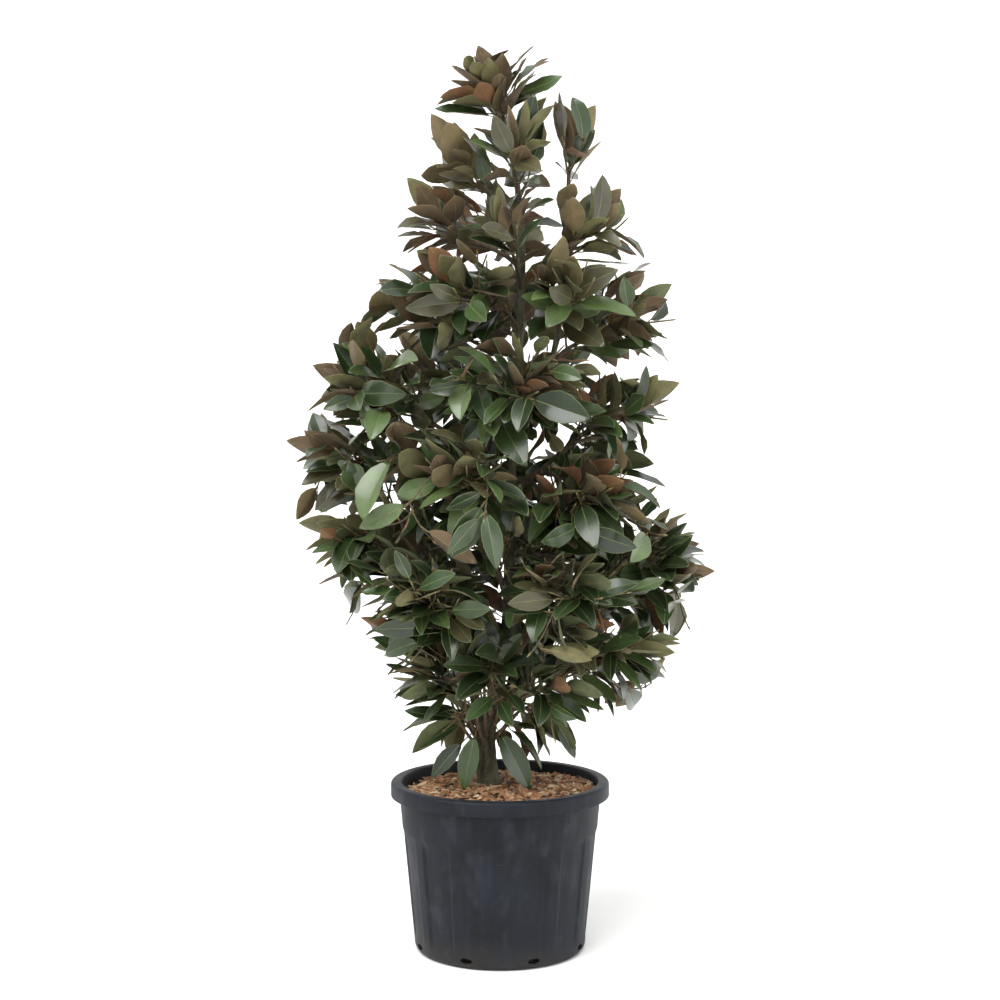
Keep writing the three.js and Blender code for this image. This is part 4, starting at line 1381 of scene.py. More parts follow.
@dataclass
class Mulch:
    """Potting mix that fills the pot, under a layer of loose bark chips."""

    pot: Pot
    seat: tuple = (-27.0, 0.0, 48.0)  # middle and radius of the level patch under the trunk
    edge_drop: float = 15
    edge_tilt: float = 8
    edge_high_at: float = -50 * DEGREE
    ripple: float = 4
    ripple_size: float = 60
    bed_steps: int = 120
    bed_rings: int = 26
    bed_depth: float = 3  # under the mulch's own surface
    wall_gap: float = 1
    crisp_above: float = 40
    chips: int = 3000
    chip_length: tuple = (11, 26)
    chip_extra: float = 24  # that the few longest have
    chip_width: tuple = (0.32, 0.66)  # as shares of the length
    chip_thickness: tuple = (2.6, 6.5)
    chip_lift: tuple = (-2, 6)
    chip_lean: float = 0.65
    chip_pitch: float = 0.5
    chip_bow: float = 0.16
    chip_ends: tuple = ((0.35, 0.9), (0.3, 0.9))  # least and most width of each end
    chip_uneven: tuple = ((0.86, 1.1), (0.75, 1.15), (0.6, 1.2))  # in length, width and thickness
    chip_wedge: float = 0.4
    trunk_clear: float = 34
    seed: int = 11
    tints: tuple = (
        (BarkChip("chip_tan", (176, 140, 104)), 0.30), (BarkChip("chip_orange", (170, 118, 76)), 0.22),
        (BarkChip("chip_brown", (126, 90, 62)), 0.22), (BarkChip("chip_dark", (78, 56, 42)), 0.12),
        (BarkChip("chip_pale", (208, 180, 146)), 0.14),
    )

    def edge_height(self, turn: float) -> float:
        """Return the height of the mulch at the pot wall in a direction."""
        tilt = self.edge_tilt * math.cos(turn - self.edge_high_at)
        return GROUND - self.edge_drop + tilt + self.ripple / 2 * math.cos(3 * turn)

    def surface(self, x: float, y: float) -> float:
        """Measure the top of the mulch.

        Args:
            x: place to the right.
            y: place to the back.

        Returns:
            Its height there.
        """
        turn = math.atan2(y, x)
        from_seat = max(0.0, math.hypot(x - self.seat[0], y - self.seat[1]) - self.seat[2])
        to_wall = self.pot.inside_radius(GROUND - self.edge_drop) - math.hypot(x, y)
        share = from_seat / max(1.0, from_seat + max(0.0, to_wall))
        bumps = self.ripple * noise.noise(Vector((x, y, 0)) / self.ripple_size) * min(1.0, share * 3)
        return mix(GROUND - GAP, self.edge_height(turn), share) + bumps

    def bed(self) -> None:
        """Make the mix under the chips."""
        pot = self.pot
        edge, foot = GROUND - self.edge_drop, pot.floor + GAP
        radii = np.linspace(0, pot.inside_radius(edge) - self.wall_gap, self.bed_rings)
        profile = [(radius, GROUND) for radius in radii]
        levels = (pot.panel_top, pot.panel_bottom, foot)
        profile += [(pot.inside_radius(z) - self.wall_gap, z) for z in levels]
        piece = spun("mulch_bed", [*profile, (0, foot)], self.bed_steps)

        def settle(places: np.ndarray) -> np.ndarray:
            """Lower the top of the bed to its uneven surface.

            Args:
                places: the bed's corners.

            Returns:
                The same corners.
            """
            for corner in places:
                if corner[2] > pot.panel_top + 1:
                    corner[2] = self.surface(corner[0], corner[1]) - self.bed_depth
            return places

        reshape(piece, settle)
        piece.data.materials.clear()
        piece.data.materials.append(Compost().material())
        smooth_by_angle(piece, self.crisp_above)
        place(piece, ["soil"])

    def chip(self, random: SeededRandom, middle: Vector, size: tuple) -> tuple[np.ndarray, np.ndarray]:
        """Shape one chip.

        Args:
            random: where its unevenness comes from.
            middle: its middle.
            size: length, width and thickness.

        Returns:
            Its corners, and their marks along and across the grain.
        """
        length, width, thickness = size
        yaw = Quaternion(UP, random.between(0, math.tau))
        lean = Quaternion(Vector((1, 0, 0)), random.between(-self.chip_lean, self.chip_lean))
        pitch = Quaternion(Vector((0, 1, 0)), random.between(-self.chip_pitch, self.chip_pitch))
        turned = yaw @ pitch @ lean
        bow = random.between(-self.chip_bow, self.chip_bow) * length
        first, last = (random.between(*end) for end in self.chip_ends)
        longer, wider, thicker = self.chip_uneven
        corners, marks = [], []
        for along, taper in ((-0.5, first), (0.0, 1.0), (0.5, last)):
            for side, lift in ((-0.5, -0.5), (0.5, -0.5), (0.5, 0.5), (-0.5, 0.5)):
                local = Vector((
                    along * length * random.between(*longer),
                    side * width * taper * random.between(*wider) + bow * (0.25 - along * along),
                    lift * thickness * random.between(*thicker) * mix(taper, 1, self.chip_wedge)))
                corners.append(middle + turned @ local)
                marks.append((side * width * MM, along * length * MM))
        return np.array(corners), np.array(marks)

    def chip_layer(self) -> None:
        """Strew the chips as one joined piece."""
        random = SeededRandom(self.seed)
        stock = MeshStock()
        walls = [(ring * 4 + k, ring * 4 + (k + 1) % 4, ring * 4 + 4 + (k + 1) % 4, ring * 4 + 4 + k)
                 for ring in range(2) for k in range(4)]
        faces = np.array([*walls, (3, 2, 1, 0), (8, 9, 10, 11)])
        wall = self.pot.inside_radius(GROUND - self.edge_drop) - self.wall_gap
        tints = [(index, weight) for index, (_, weight) in enumerate(self.tints)]
        for _ in range(self.chips):
            length = random.between(*self.chip_length) + self.chip_extra * random.next() ** 3
            size = (length, length * random.between(*self.chip_width), random.between(*self.chip_thickness))
            radius = math.sqrt(random.next()) * (wall - length * 0.5)
            turn = random.between(0, math.tau)
            x, y = radius * math.cos(turn), radius * math.sin(turn)
            lift = random.between(*self.chip_lift)
            tint = random.pick(tints)
            corners, marks = self.chip(random, Vector((x, y, self.surface(x, y) + lift)), size)
            if math.hypot(x - self.seat[0], y - self.seat[1]) > self.trunk_clear + size[1] * 0.3:
                stock.add(corners, faces, np.full(len(faces), tint), marks)
        materials = [finish.material() for finish, _ in self.tints]
        place(stock.build("bark_chips", materials, smooth=False))


# --- wood


@dataclass
class Woodwork:
    """Trunk and boughs with the relief of their bark."""

    sides: int = 36
    step: float = 7.0
    bough_sides: int = 18
    bough_step: float = 6.0
    collar: float = 0.55  # how much a bough swells where it leaves its limb
    collar_reach: float = 16.0
    leader_relief: float = 2.4
    stem_relief: float = 1.6
    bough_relief: float = 0.8
    trunk_slack: float = 0.6  # what the bark's relief takes off the radius on average
    bough_slack: float = 0.5
    ridge: tuple = (8.0, 8.0, 60.0)
    knot: float = 30.0
    pit: float = 4.0
    shares: tuple = (0.9, 0.8, 0.25)  # of ridges, knots and pits
    trunk_bark: Bark = field(default=Bark("bark_trunk", (37, 37, 27), (94, 92, 72)))
    bough_bark: Bark = field(default=Bark("bark_bough", (62, 50, 38), (104, 88, 68)))

    def relief(self, depth: float) -> Callable[[Vector], float]:
        """Carve bark.

        Args:
            depth: about how far it stands out.

        Returns:
            What it adds to a limb's radius at a point.
        """
        def height(point: Vector) -> float:
            """Add up ridges along the limb, knots and fine pits.

            Args:
                point: place on the limb.

            Returns:
                What they add there.
            """
            stretched = Vector([part / size for part, size in zip(point, self.ridge)])
            places = (stretched, point / self.knot, point / self.pit)
            return depth * sum(share * noise.noise(where) for share, where in zip(self.shares, places))
        return height

    def trunk(self) -> None:
        """Make the forked trunk from its three limbs."""
        stock = MeshStock()
        for name, limb in LIMBS.items():
            shares = np.linspace(0, 1, int(limb.length / self.step) + 1)
            centres = [limb.point_at(share) for share in shares]
            radii = [limb.radius_of_height(centre.z) - self.trunk_slack for centre in centres]
            depth = self.leader_relief if name == "leader" else self.stem_relief
            points, faces, marks = tube(centres, radii, self.sides, self.relief(depth))
            stock.add(points, faces, np.zeros(len(faces)), marks)
        place(stock.build("trunk_bark", [self.trunk_bark.material()]), ["trunk"])

    def boughs(self) -> None:
        """Make all boughs, each swelling into a collar at the trunk."""
        stock = MeshStock()
        plans = [plan for plan in PLANS if plan.bough]
        for plan in plans:
            limb_radius = LIMBS[plan.tip.limb].radius_of_height(plan.tip.limb_height)
            count = int(plan.bough.length / self.bough_step) + 1
            shares = np.linspace(0, 1, count)
            centres = [plan.bough.point_at(share) for share in shares]
            radii = []
            for share in shares:
                beyond = max(0.0, share * plan.bough.length - limb_radius)
                swell = 1 + self.collar * math.exp(-beyond / self.collar_reach)
                radii.append((mix(BOUGH.root, BOUGH.tip, share) - self.bough_slack) * swell)
            points, faces, marks = tube(centres, radii, self.bough_sides, self.relief(self.bough_relief))
            stock.add(points, faces, np.zeros(len(faces)), marks)
        names = [f"bough_{plan.name}" for plan in plans]
        place(stock.build("bough_bark", [self.bough_bark.material()]), names)


# --- foliage


@dataclass
class Leaf:
    """One leaf: where its stalk is rooted, how it points and how it is shaped."""

    root: Vector
    direction: Vector
    facing: Vector
    length: float
    stalk: float
    bend: float  # from the blade's foot to its tip, in radians
    fold: float  # how steeply the halves rise from the rib
    wave: float
    phase: float
    upper: int
    under: int
    width: float = 0.25  # half the blade's width, as a share of its length
    turn: float = 0.0  # how far the blade twists from its foot to its tip, in radians


class LeafPart(IntEnum):
    """Parts of a leaf; the plain ones come first, and their numbers are their slots."""

    RIB = 0
    STALK = 1
    # MARGIN is the pale edge strip of the upper side, partly painted highlight.
    MARGIN = 2
    UPPER = 3
    UNDER = 4


@dataclass
class LeafPress:
    """Presses leaves into meshes: two skins that meet at the margin, a rib and a stalk."""

    COARSE_FACES = ((0, 1, 4, 3), (1, 2, 5, 4), (3, 4, 7, 6), (4, 5, 8, 7))
    ABOVE = (LeafPart.MARGIN, LeafPart.UPPER, LeafPart.RIB, LeafPart.UPPER, LeafPart.MARGIN)
    BELOW = (LeafPart.UNDER, LeafPart.UNDER, LeafPart.STALK, LeafPart.UNDER, LeafPart.UNDER)

    rib: tuple = (1.1, 0.3)  # half width of the rib, at the foot and the tip
    rib_depth: float = 0.6  # how far the rib stands out below
    thickness: float = 0.9
    margin: float = 2.0
    slimmest: tuple = (0.35, 0.5, 0.3)  # half width at the ends; rib and margin take no more of it
    stalk_radii: tuple = (1.9, 1.9, 1.5)
    stalk_sunk: float = 2.0
    stalk_sag: float = 1.2
    rows: tuple = (0.0, 0.08, 0.22, 0.4, 0.59, 0.77, 0.92, 1.0)
    swell: tuple = (0.9, 0.82)
    ripples: float = 9.0  # turns of the margin's wave along the blade, in radians
    lopsided: float = 0.3  # where across the blade the wave changes sides
    coarse_rows: tuple = ((0.06, 0.3), (0.5, 1.0), (1.0, 0.05))  # places along it and shares of its width

    def __post_init__(self) -> None:
        """Lay out the faces that all leaves share."""
        self.stations = np.array(self.rows)
        count = len(self.rows)
        upper = np.arange(count * 6).reshape(count, 6)
        lower = upper.copy()
        lower[1:-1, 1:5] = count * 6 + np.arange((count - 2) * 4).reshape(count - 2, 4)
        skins, parts = [], []
        for row in range(count - 1):
            for column in range(5):
                a, b = upper[row, column], upper[row, column + 1]
                skins.append((a, b, upper[row + 1, column + 1], upper[row + 1, column]))
                a, b = lower[row, column], lower[row, column + 1]
                skins.append((a, lower[row + 1, column], lower[row + 1, column + 1], b))
                parts += [self.ABOVE[column], self.BELOW[column]]
        stalk = count * 6 + (count - 2) * 4
        for ring in range(2):
            for k in range(4):
                here, there = stalk + ring * 4 + k, stalk + ring * 4 + (k + 1) % 4
                skins.append((here, there, there + 4, here + 4))
        skins += [(stalk + 3, stalk + 2, stalk + 1, stalk), (stalk + 8, stalk + 9, stalk + 10, stalk + 11)]
        parts += [LeafPart.STALK] * (len(skins) - len(parts))
        self.faces, self.parts = np.array(skins), np.array(parts)

    def outline(self, stations: np.ndarray) -> np.ndarray:
        """Return the half width of a blade along its length, as a share of the widest."""
        ease, power = self.swell
        return np.sin(np.pi * np.clip(stations, 0, 1) ** ease) ** power

    def surface(self, leaf: Leaf, stations: np.ndarray, sides: np.ndarray) -> tuple[np.ndarray, np.ndarray]:
        """Place points of a blade.

        Args:
            leaf: the leaf.
            stations: places along the blade, 0 to 1.
            sides: for each station, distances from the midrib in millimetres.

        Returns:
            Points and the upward normal at each station.
        """
        up = square_to(leaf.facing, leaf.direction)
        forward, up = np.array(leaf.direction), np.array(up)
        right = np.cross(forward, up)
        foot = np.array(leaf.root) + forward * leaf.stalk
        bent = leaf.bend * stations
        bend = leaf.bend if abs(leaf.bend) > 1e-3 else 1e-3
        ahead = leaf.length * np.sin(bend * stations) / bend
        down = leaf.length * (1 - np.cos(bend * stations)) / bend
        middle = foot + ahead[:, None] * forward - down[:, None] * up
        normal = np.sin(bent)[:, None] * forward + np.cos(bent)[:, None] * up
        turned = (leaf.turn * stations)[:, None]
        across = np.cos(turned) * right + np.sin(turned) * normal
        normal = np.cos(turned) * normal - np.sin(turned) * right
        widest = leaf.width * leaf.length
        shares = sides / widest
        ripple = leaf.wave * np.sin(stations * self.ripples + leaf.phase)[:, None] * shares**2
        lift = leaf.fold * np.abs(sides) + ripple * np.sign(shares + self.lopsided)
        level = middle[:, None, :] + sides[:, :, None] * across[:, None, :]
        return level + lift[:, :, None] * normal[:, None, :], normal

    def coarse(self, leaf: Leaf) -> np.ndarray:
        """Place the few points that stand for a blade in tests of room.

        Args:
            leaf: the leaf.

        Returns:
            Nine points.
        """
        stations, shares = np.array(self.coarse_rows).T
        half = leaf.width * leaf.length * shares
        return self.surface(leaf, stations, half[:, None] * np.array([[-1, 0, 1]]))[0].reshape(-1, 3)

    def press(self, leaf: Leaf, stock: MeshStock) -> None:
        """Add a leaf to a stock of leaves.

        Args:
            leaf: the leaf.
            stock: what it is added to.
        """
        least, rib_share, margin_share = self.slimmest
        half = np.maximum(leaf.width * leaf.length * self.outline(self.stations), least)
        rib = np.minimum(np.interp(self.stations, [0, 1], self.rib), half * rib_share)
        inset = half - np.minimum(self.margin, half * margin_share)
        sides = np.stack([-half, -inset, -rib, rib, inset, half], axis=1)
        upper, normal = self.surface(leaf, self.stations, sides)
        inner = upper[1:-1, 1:5] - normal[1:-1, None, :] * self.thickness
        inner[:, 1:3] -= normal[1:-1, None, :] * self.rib_depth
        sunk = np.array(leaf.root) - np.array(leaf.direction) * self.stalk_sunk
        up = np.array(square_to(leaf.facing, leaf.direction))
        right = np.cross(np.array(leaf.direction), up)
        end = upper[1, 2:4].mean(axis=0) - normal[1] * self.thickness
        middle = (np.array(leaf.root) + end) / 2 - up * self.stalk_sag
        rings = []
        for centre, radius in zip((sunk, middle, end), self.stalk_radii):
            for k in range(4):
                turn = math.tau * (k + 0.5) / 4
                rings.append(centre + (right * math.cos(turn) - up * math.sin(turn)) * radius)
        points = np.concatenate([upper.reshape(-1, 3), inner.reshape(-1, 3), np.array(rings)])
        marks = np.zeros((len(points), 2))
        marks[:upper.shape[0] * 6, 0] = (sides / (2 * leaf.width * leaf.length) + 0.5).ravel()
        marks[:upper.shape[0] * 6, 1] = np.repeat(self.stations, 6)
        upper_slot = LeafPart.UPPER + leaf.upper
        under_slot = LeafPart.UPPER + len(UPPER_TINTS) + leaf.under
        slots = np.array([LeafPart.RIB, LeafPart.STALK, LeafPart.MARGIN, upper_slot, under_slot])
        stock.add(points, self.faces, slots[self.parts], marks)


@dataclass
class Shoot:
    """A woody shoot that carries leaves towards its end."""

    axis: SpringCurve
    wood: Wood
    leaves: int
    span: float
    sunk: float = 6.0
    collar: float = 1.12

    def radius(self, share: float) -> float:
        """Return the shoot's radius at a share of its length."""
        return mix(self.wood.root, self.wood.tip, share)

    def skin(self, sides: int, step: float) -> tuple[np.ndarray, np.ndarray, np.ndarray]:
        """Wrap the shoot, its foot sunk into what carries it.

        Args:
            sides: corners round it.
            step: distance from ring to ring.

        Returns:
            Corners, faces and the pattern's marks.
        """
        count = max(3, int(self.axis.length / step))
        shares = np.linspace(0, 1, count)
        centres = [self.axis.point_at(share) for share in shares]
        foot = centres[0] - self.axis.tangent(0) * self.sunk
        radii = [self.radius(share) for share in shares]
        collar = radii[0] * self.collar
        return tube([foot, *centres], [collar, collar, *radii[1:]], sides)


@dataclass
class Habit:
    """How shoots branch and how leaves sit on them. Pairs marked foot and top change with height."""

    seed: int = 900
    foot: float = 750.0
    top: float = 2150.0
    twig_pitch: tuple = (36.0, 70.0)
    twig_roll: float = 0.3
    twig_lift: float = 0.42
    twig_curl: float = 0.6
    twig_length: tuple = (0.75, 1.45)
    straight: float = 0.62  # share of a twig that keeps the direction it leaves in
    lengths_tried: tuple = (1.0, 0.78, 0.58, 0.42)
    probes: tuple = (0.4, 0.6, 0.8, 1.0)  # where on a shoot its room is tested
    extra_twigs: int = 8
    twig_jitter: float = 0.4
    twigs_end: float = 0.9  # share of the stem at which the last side twig stands
    bough_twigs: int = 8
    bough_span: tuple = (0.3, 0.95)
    bough_roll: float = 1.0
    sprigs_from: float = 70.0  # length of the shortest twig with sprigs
    sprig_shares: tuple = (0.26, 0.46, 0.68)
    sprig_length: float = 0.58
    sprig_fewer: int = 2  # leaves that a sprig has less than a twig
    twig_leaves: tuple = (12.0, 8.0)  # foot and top
    least_leaves: int = 2
    stem_leaves: int = 11
    leaf_span: tuple = (132.0, 160.0)  # foot and top
    span_spread: tuple = (0.75, 1.25)
    span_most: float = 0.85  # of the shoot's length
    tip_gap: float = 3.0
    first_leaf: float = 0.82  # size of the leaf nearest the tip
    same_tint: float = 0.75  # share of leaves in their spray's own tints
    leaf_length: tuple = ((118.0, 118.0), (178.0, 180.0))  # least and most, each foot and top
    leaf_width: tuple = ((0.175, 0.215), (0.24, 0.285))  # least and most, each foot and top
    leaf_turn: float = 0.55
    tip_pitch: tuple = (28.0, 17.0)  # of the leaf nearest the tip, foot and top
    low_pitch: tuple = (60.0, 52.0)  # of the lowest leaf on a shoot, foot and top
    pitch_ease: float = 0.8
    pitch_spread: float = 20.0
    least_pitch: float = 8.0
    droop: tuple = (0.05, -0.05)  # foot and top
    droop_spread: tuple = (0.4, 1.4)
    fork_droop: float = 0.55
    roll_spread: float = 0.7
    missing: float = 0.05  # share of leaves that have dropped
    stalk: tuple = (14.0, 26.0)
    bend: tuple = (-0.25, 0.8)
    fold: tuple = (0.05, 0.5)
    wave: tuple = (1.0, 6.5)
    to_light: tuple = (0.95, 0.4)  # foot and top
    light_spread: tuple = (0.3, 1.3)
    twist: tuple = (0.5, 0.85)  # foot and top
    sizes_tried: tuple = (1.0, 0.92, 0.84, 0.76)
    step_aside: tuple = (0.2, 0.5)  # turn round the shoot after a leaf found no room, in radians
    bare_below: float = 650.0  # the trunk's foot stays open to view up to here
    end_stalk: float = 18.0
    end_facing: tuple = (0.8, 0.6)  # share of sideways and of upright
    end_shape: tuple = (0.04, 0.22, 1.0, 0.0)  # bend, fold, wave and its phase
    fills: int = 110
    fill_reach: float = 330.0
    fill_tries: int = 50
    fill_lead: float = 0.35  # share of the carrying shoot's direction in a filling sprig's first one
    fill_rise: float = 0.3
    full_at: float = 60.0  # a place this near to a leaf counts as full
    perch_shares: tuple = (0.2, 0.4, 0.6, 0.8)
    perch_reach: tuple = (50.0, 170.0)

    def high(self, z: float) -> float:
        """Return how far up the crown a height is, 0 at the foot and 1 at the top."""
        return min(1.0, max(0.0, (z - self.foot) / (self.top - self.foot)))

    def leaves_at(self, z: float, wood: Wood) -> int:
        """Return how many leaves a twig or sprig may carry at a height."""
        return round(mix(*self.twig_leaves, self.high(z))) - (self.sprig_fewer if wood is SPRIG else 0)


@dataclass(frozen=True)
class HangingLeaf:
    """A leaf that hangs by the fork of the trunk on a thin curved shoot."""

    limb: str
    limb_height: float
    root: tuple
    tip: tuple
    facing: tuple
    upper: int
    under: int
    stalk: float = 18.0
    bend: float = 0.35
    fold: float = 0.2
    wave: float = 1.6
    width: float = 0.2
    climb: float = 40.0  # how much higher than the leaf's foot its shoot first aims

    def leaf(self) -> Leaf:
        """Shape the leaf itself.

        Returns:
            The leaf.
        """
        root, across = Vector(self.root), Vector(self.tip) - Vector(self.root)
        shape = (across.length - self.stalk, self.stalk, self.bend, self.fold, self.wave, self.root[0])
        tints = (self.upper, self.under)
        return Leaf(root, across.normalized(), Vector(self.facing), *shape, *tints, self.width)

    def shoot(self) -> Shoot:
        """Bend the shoot that carries it.

        Returns:
            The shoot.
        """
        limb = LIMBS[self.limb]
        foot = limb.point(limb.parameter_of_height(self.limb_height))
        outward = (Vector(self.root) - foot + UP * self.climb).normalized()
        arriving = (Vector(self.tip) - Vector(self.root)).normalized()
        return Shoot(SpringCurve(foot, outward, Vector(self.root), arriving), SPRIG, 1, 0.0)


HANGING = (
    HangingLeaf("leader", 628, (-64, -60, 612), (-106, -106, 456), (-0.3, -1, 0.3), 2, 0),
    HangingLeaf("leader", 640, (-8, -58, 616), (88, -104, 460), (0.25, -1, 0.4), 1, 0),
    HangingLeaf("left_stem", 600, (-92, -50, 588), (-192, -78, 488), (-0.2, -1, 0.5), 0, 4),
    HangingLeaf("left_stem", 622, (-96, -34, 628), (-238, -58, 572), (-0.1, -0.7, 1), 1, 0),
    HangingLeaf("leader", 690, (92, -62, 716), (190, -86, 628), (0.3, -1, 0.6), 2, 0),
    HangingLeaf("leader", 676, (146, -48, 640), (214, -60, 536), (0.6, -1, 0.3), 0, 4),
)


class Foliage:
    """One mass of foliage: its shoots, leaves and buds."""

    def __init__(
        self, index: int, crown: CrownSpace, wood: WoodSpace, press: LeafPress, habit: Habit
    ) -> None:
        """Grow the mass.

        Args:
            index: which plan it follows.
            crown: the spaces.
            wood: where trunk and boughs are.
            press: what gives leaves their shape.
            habit: how it branches.
        """
        self.index, self.plan = index, PLANS[index]
        self.crown, self.wood, self.press, self.habit = crown, wood, press, habit
        self.random = SeededRandom(habit.seed + index)
        self.shoots: list[Shoot] = []
        self.leaves: list[Leaf] = []
        self.middles: list[Vector] = []
        self.blades: list[BVHTree] = []
        self.perches: list[tuple[Vector, Vector]] = []
        if self.plan.tier.name in ("low", "fork"):
            for hanging in HANGING:
                self.note(press.coarse(hanging.leaf()))
        self.grow()

    def note(self, points: np.ndarray) -> None:
        """Note the room that a blade takes up.

        Args:
            points: the few points that stand for it.
        """
        corners = [Vector(point) for point in points]
        self.middles.append(corners[4])
        self.blades.append(BVHTree.FromPolygons(corners, LeafPress.COARSE_FACES))

    def has_room(self, leaf: Leaf) -> bool:
        """Test whether a leaf keeps to its space and crosses nothing, and note it then.

        Args:
            leaf: the leaf.

        Returns:
            Whether it does.
        """
        points = self.press.coarse(leaf)
        low = self.plan.tier.name == "low" and points[:, 2].min() < self.habit.bare_below
        if low or not self.crown.within(points, self.index).all() or not self.wood.clears(points):
            return False
        blade = BVHTree.FromPolygons([Vector(point) for point in points], LeafPress.COARSE_FACES)
        middle = Vector(points[4])
        for other, tree in zip(self.middles, self.blades):
            if (other - middle).length < leaf.length and blade.overlap(tree):
                return False
        self.note(points)
        return True

    def tints(self, z: float) -> tuple[int, int]:
        """Deal a spray its upper and lower tints by height, darker towards the foot, partly as painted
        shade.

        Args:
            z: the spray's height.

        Returns:
            The numbers of the two tints.
        """
        high = self.habit.high(z)
        upper, under = (
            [(index, mix(at_foot, at_top, high)) for index, (_, at_foot, at_top) in enumerate(tints)]
            for tints in (UPPER_TINTS, UNDER_TINTS))
        return self.random.pick(upper), self.random.pick(under)

    def sprout(self, axis: SpringCurve, wood: Wood, leaves: int, least: int) -> bool:
        """Grow a shoot with its spray, unless too few leaves find room on it.

        Args:
            axis: its course.
            wood: its radii.
            leaves: how many leaves it may carry.
            least: how many it has to carry.

        Returns:
            Whether it has grown.
        """
        habit = self.habit
        span = mix(*habit.leaf_span, habit.high(axis.point(1).z)) * self.random.between(*habit.span_spread)
        shoot = Shoot(axis, wood, leaves, min(span, axis.length * habit.span_most))
        spray = self.dress(shoot)
        if len(spray) < least:
            return False
        self.shoots.append(shoot)
        self.leaves += spray
        self.perches += [(axis.point_at(share), axis.tangent_at(share)) for share in habit.perch_shares]
        return True

    def clear(self, axis: SpringCurve) -> bool:
        """Return whether a shoot's course keeps to the space, clear of trunk and boughs."""
        probe = np.array([axis.point(t) for t in self.habit.probes])
        return bool(self.crown.within(probe, self.index).all()) and self.wood.clears(probe)

    def leaf_on(self, shoot: Shoot, order: int, roll: float, tints: tuple[int, int]) -> Optional[Leaf]:
        """Try to set one leaf on a shoot.

        Args:
            shoot: what carries it.
            order: 0 for the leaf nearest the tip, and more below.
            roll: its turn round the shoot.
            tints: its upper and lower tints.

        Returns:
            The leaf, or None where it finds no room.
        """
        habit, random = self.habit, self.random
        share_down = order / max(1, shoot.leaves - 1)
        place_at = 1 - mix(habit.tip_gap, shoot.span, share_down) / shoot.axis.length
        along = shoot.axis.tangent_at(place_at)
        root = shoot.axis.point_at(place_at)
        high = habit.high(root.z)
        pitch = mix(mix(*habit.tip_pitch, high), mix(*habit.low_pitch, high), share_down**habit.pitch_ease)
        pitch = max(habit.least_pitch, pitch + random.between(-habit.pitch_spread, habit.pitch_spread))
        drop = mix(*habit.droop, high) + (habit.fork_droop if self.plan.tier.name == "fork" else 0.0)
        drop *= random.between(*habit.droop_spread)
        light = UP * mix(*habit.to_light, high) * random.between(*habit.light_spread)
        twist = mix(*habit.twist, high) * random.between(-1, 1)
        least, most = (mix(*pair, high) for pair in habit.leaf_length)
        length = random.between(least, most) * (habit.first_leaf if order == 0 else 1.0)
        stalk, bend = random.between(*habit.stalk), random.between(*habit.bend)
        fold, wave = random.between(*habit.fold), random.between(*habit.wave)
        phase = random.between(0, math.tau)
        slim, broad = (mix(*pair, high) for pair in habit.leaf_width)
        width, turn = random.between(slim, broad), random.between(-habit.leaf_turn, habit.leaf_turn)
        shape = (stalk, bend, fold, wave, phase, *tints, width, turn)
        for size in habit.sizes_tried:
            direction = (away_from(along, pitch * DEGREE, roll) - UP * drop).normalized()
            facing = Quaternion(direction, twist) @ (along + light)
            leaf = Leaf(root, direction, facing, length * size, *shape)
            if self.has_room(leaf):
                return leaf
            roll += random.between(*habit.step_aside)
        return None

    def dress(self, shoot: Shoot) -> list[Leaf]:
        """Find room for a spray of leaves.

        Args:
            shoot: what carries it.

        Returns:
            The leaves.
        """
        tints = self.tints(shoot.axis.point(1).z)
        roll = self.random.between(0, math.tau)
        spray = []
        for order in range(shoot.leaves):
            same = self.random.next() < self.habit.same_tint
            own = tints if same else self.tints(shoot.axis.point(1).z)
            turn = roll + order * GOLDEN_TURN + self.random.between(-1, 1) * self.habit.roll_spread
            leaf = self.leaf_on(shoot, order, turn, own)
            if leaf and self.random.next() > self.habit.missing:
                spray.append(leaf)
        return spray

    def end_leaf(self) -> None:
        """Set the leaf that reaches the mass's own tip."""
        plan, habit = self.plan, self.habit
        sideways = Vector((-plan.target.y, plan.target.x, 0)).normalized()
        level, upright = habit.end_facing
        facing = UP * upright + sideways * math.copysign(level, plan.target.x)
        shape = (plan.END_LEAF - habit.end_stalk, habit.end_stalk, *habit.end_shape)
        leaf = Leaf(plan.stem.point(1), plan.leaf_direction, facing, *shape, *self.tints(plan.target.z))
        self.has_room(leaf)
        self.leaves.append(leaf)

    def branch(self, parent: SpringCurve, share: float, roll: float, length: float, wood: Wood) -> None:
        """Try to grow a twig from a shoot, with its leaves and finer sprigs.

        Args:
            parent: the shoot that it leaves.
            share: where on the shoot.
            roll: its turn round the shoot.
            length: its full length.
            wood: its radii.
        """
        habit, random = self.habit, self.random
        base, along = parent.point_at(share), parent.tangent_at(share)
        direction = away_from(along, random.between(*habit.twig_pitch) * DEGREE, roll)
        direction = (direction + UP * habit.twig_lift).normalized()
        arriving = direction.lerp(UP, habit.twig_curl * random.next()).normalized()
        for tried in habit.lengths_tried:
            full = length * tried
            end = base + (direction * habit.straight + arriving * (1 - habit.straight)) * full
            axis = SpringCurve(base, direction, end, arriving)
            if self.clear(axis):
                grown = self.sprout(axis, wood, habit.leaves_at(end.z, wood), habit.least_leaves)
                if grown and wood is TWIG and full > habit.sprigs_from:
                    for number, place_at in enumerate(habit.sprig_shares):
                        turn = roll + (number + 1) * GOLDEN_TURN
                        self.branch(axis, place_at, turn, full * habit.sprig_length, SPRIG)
                return

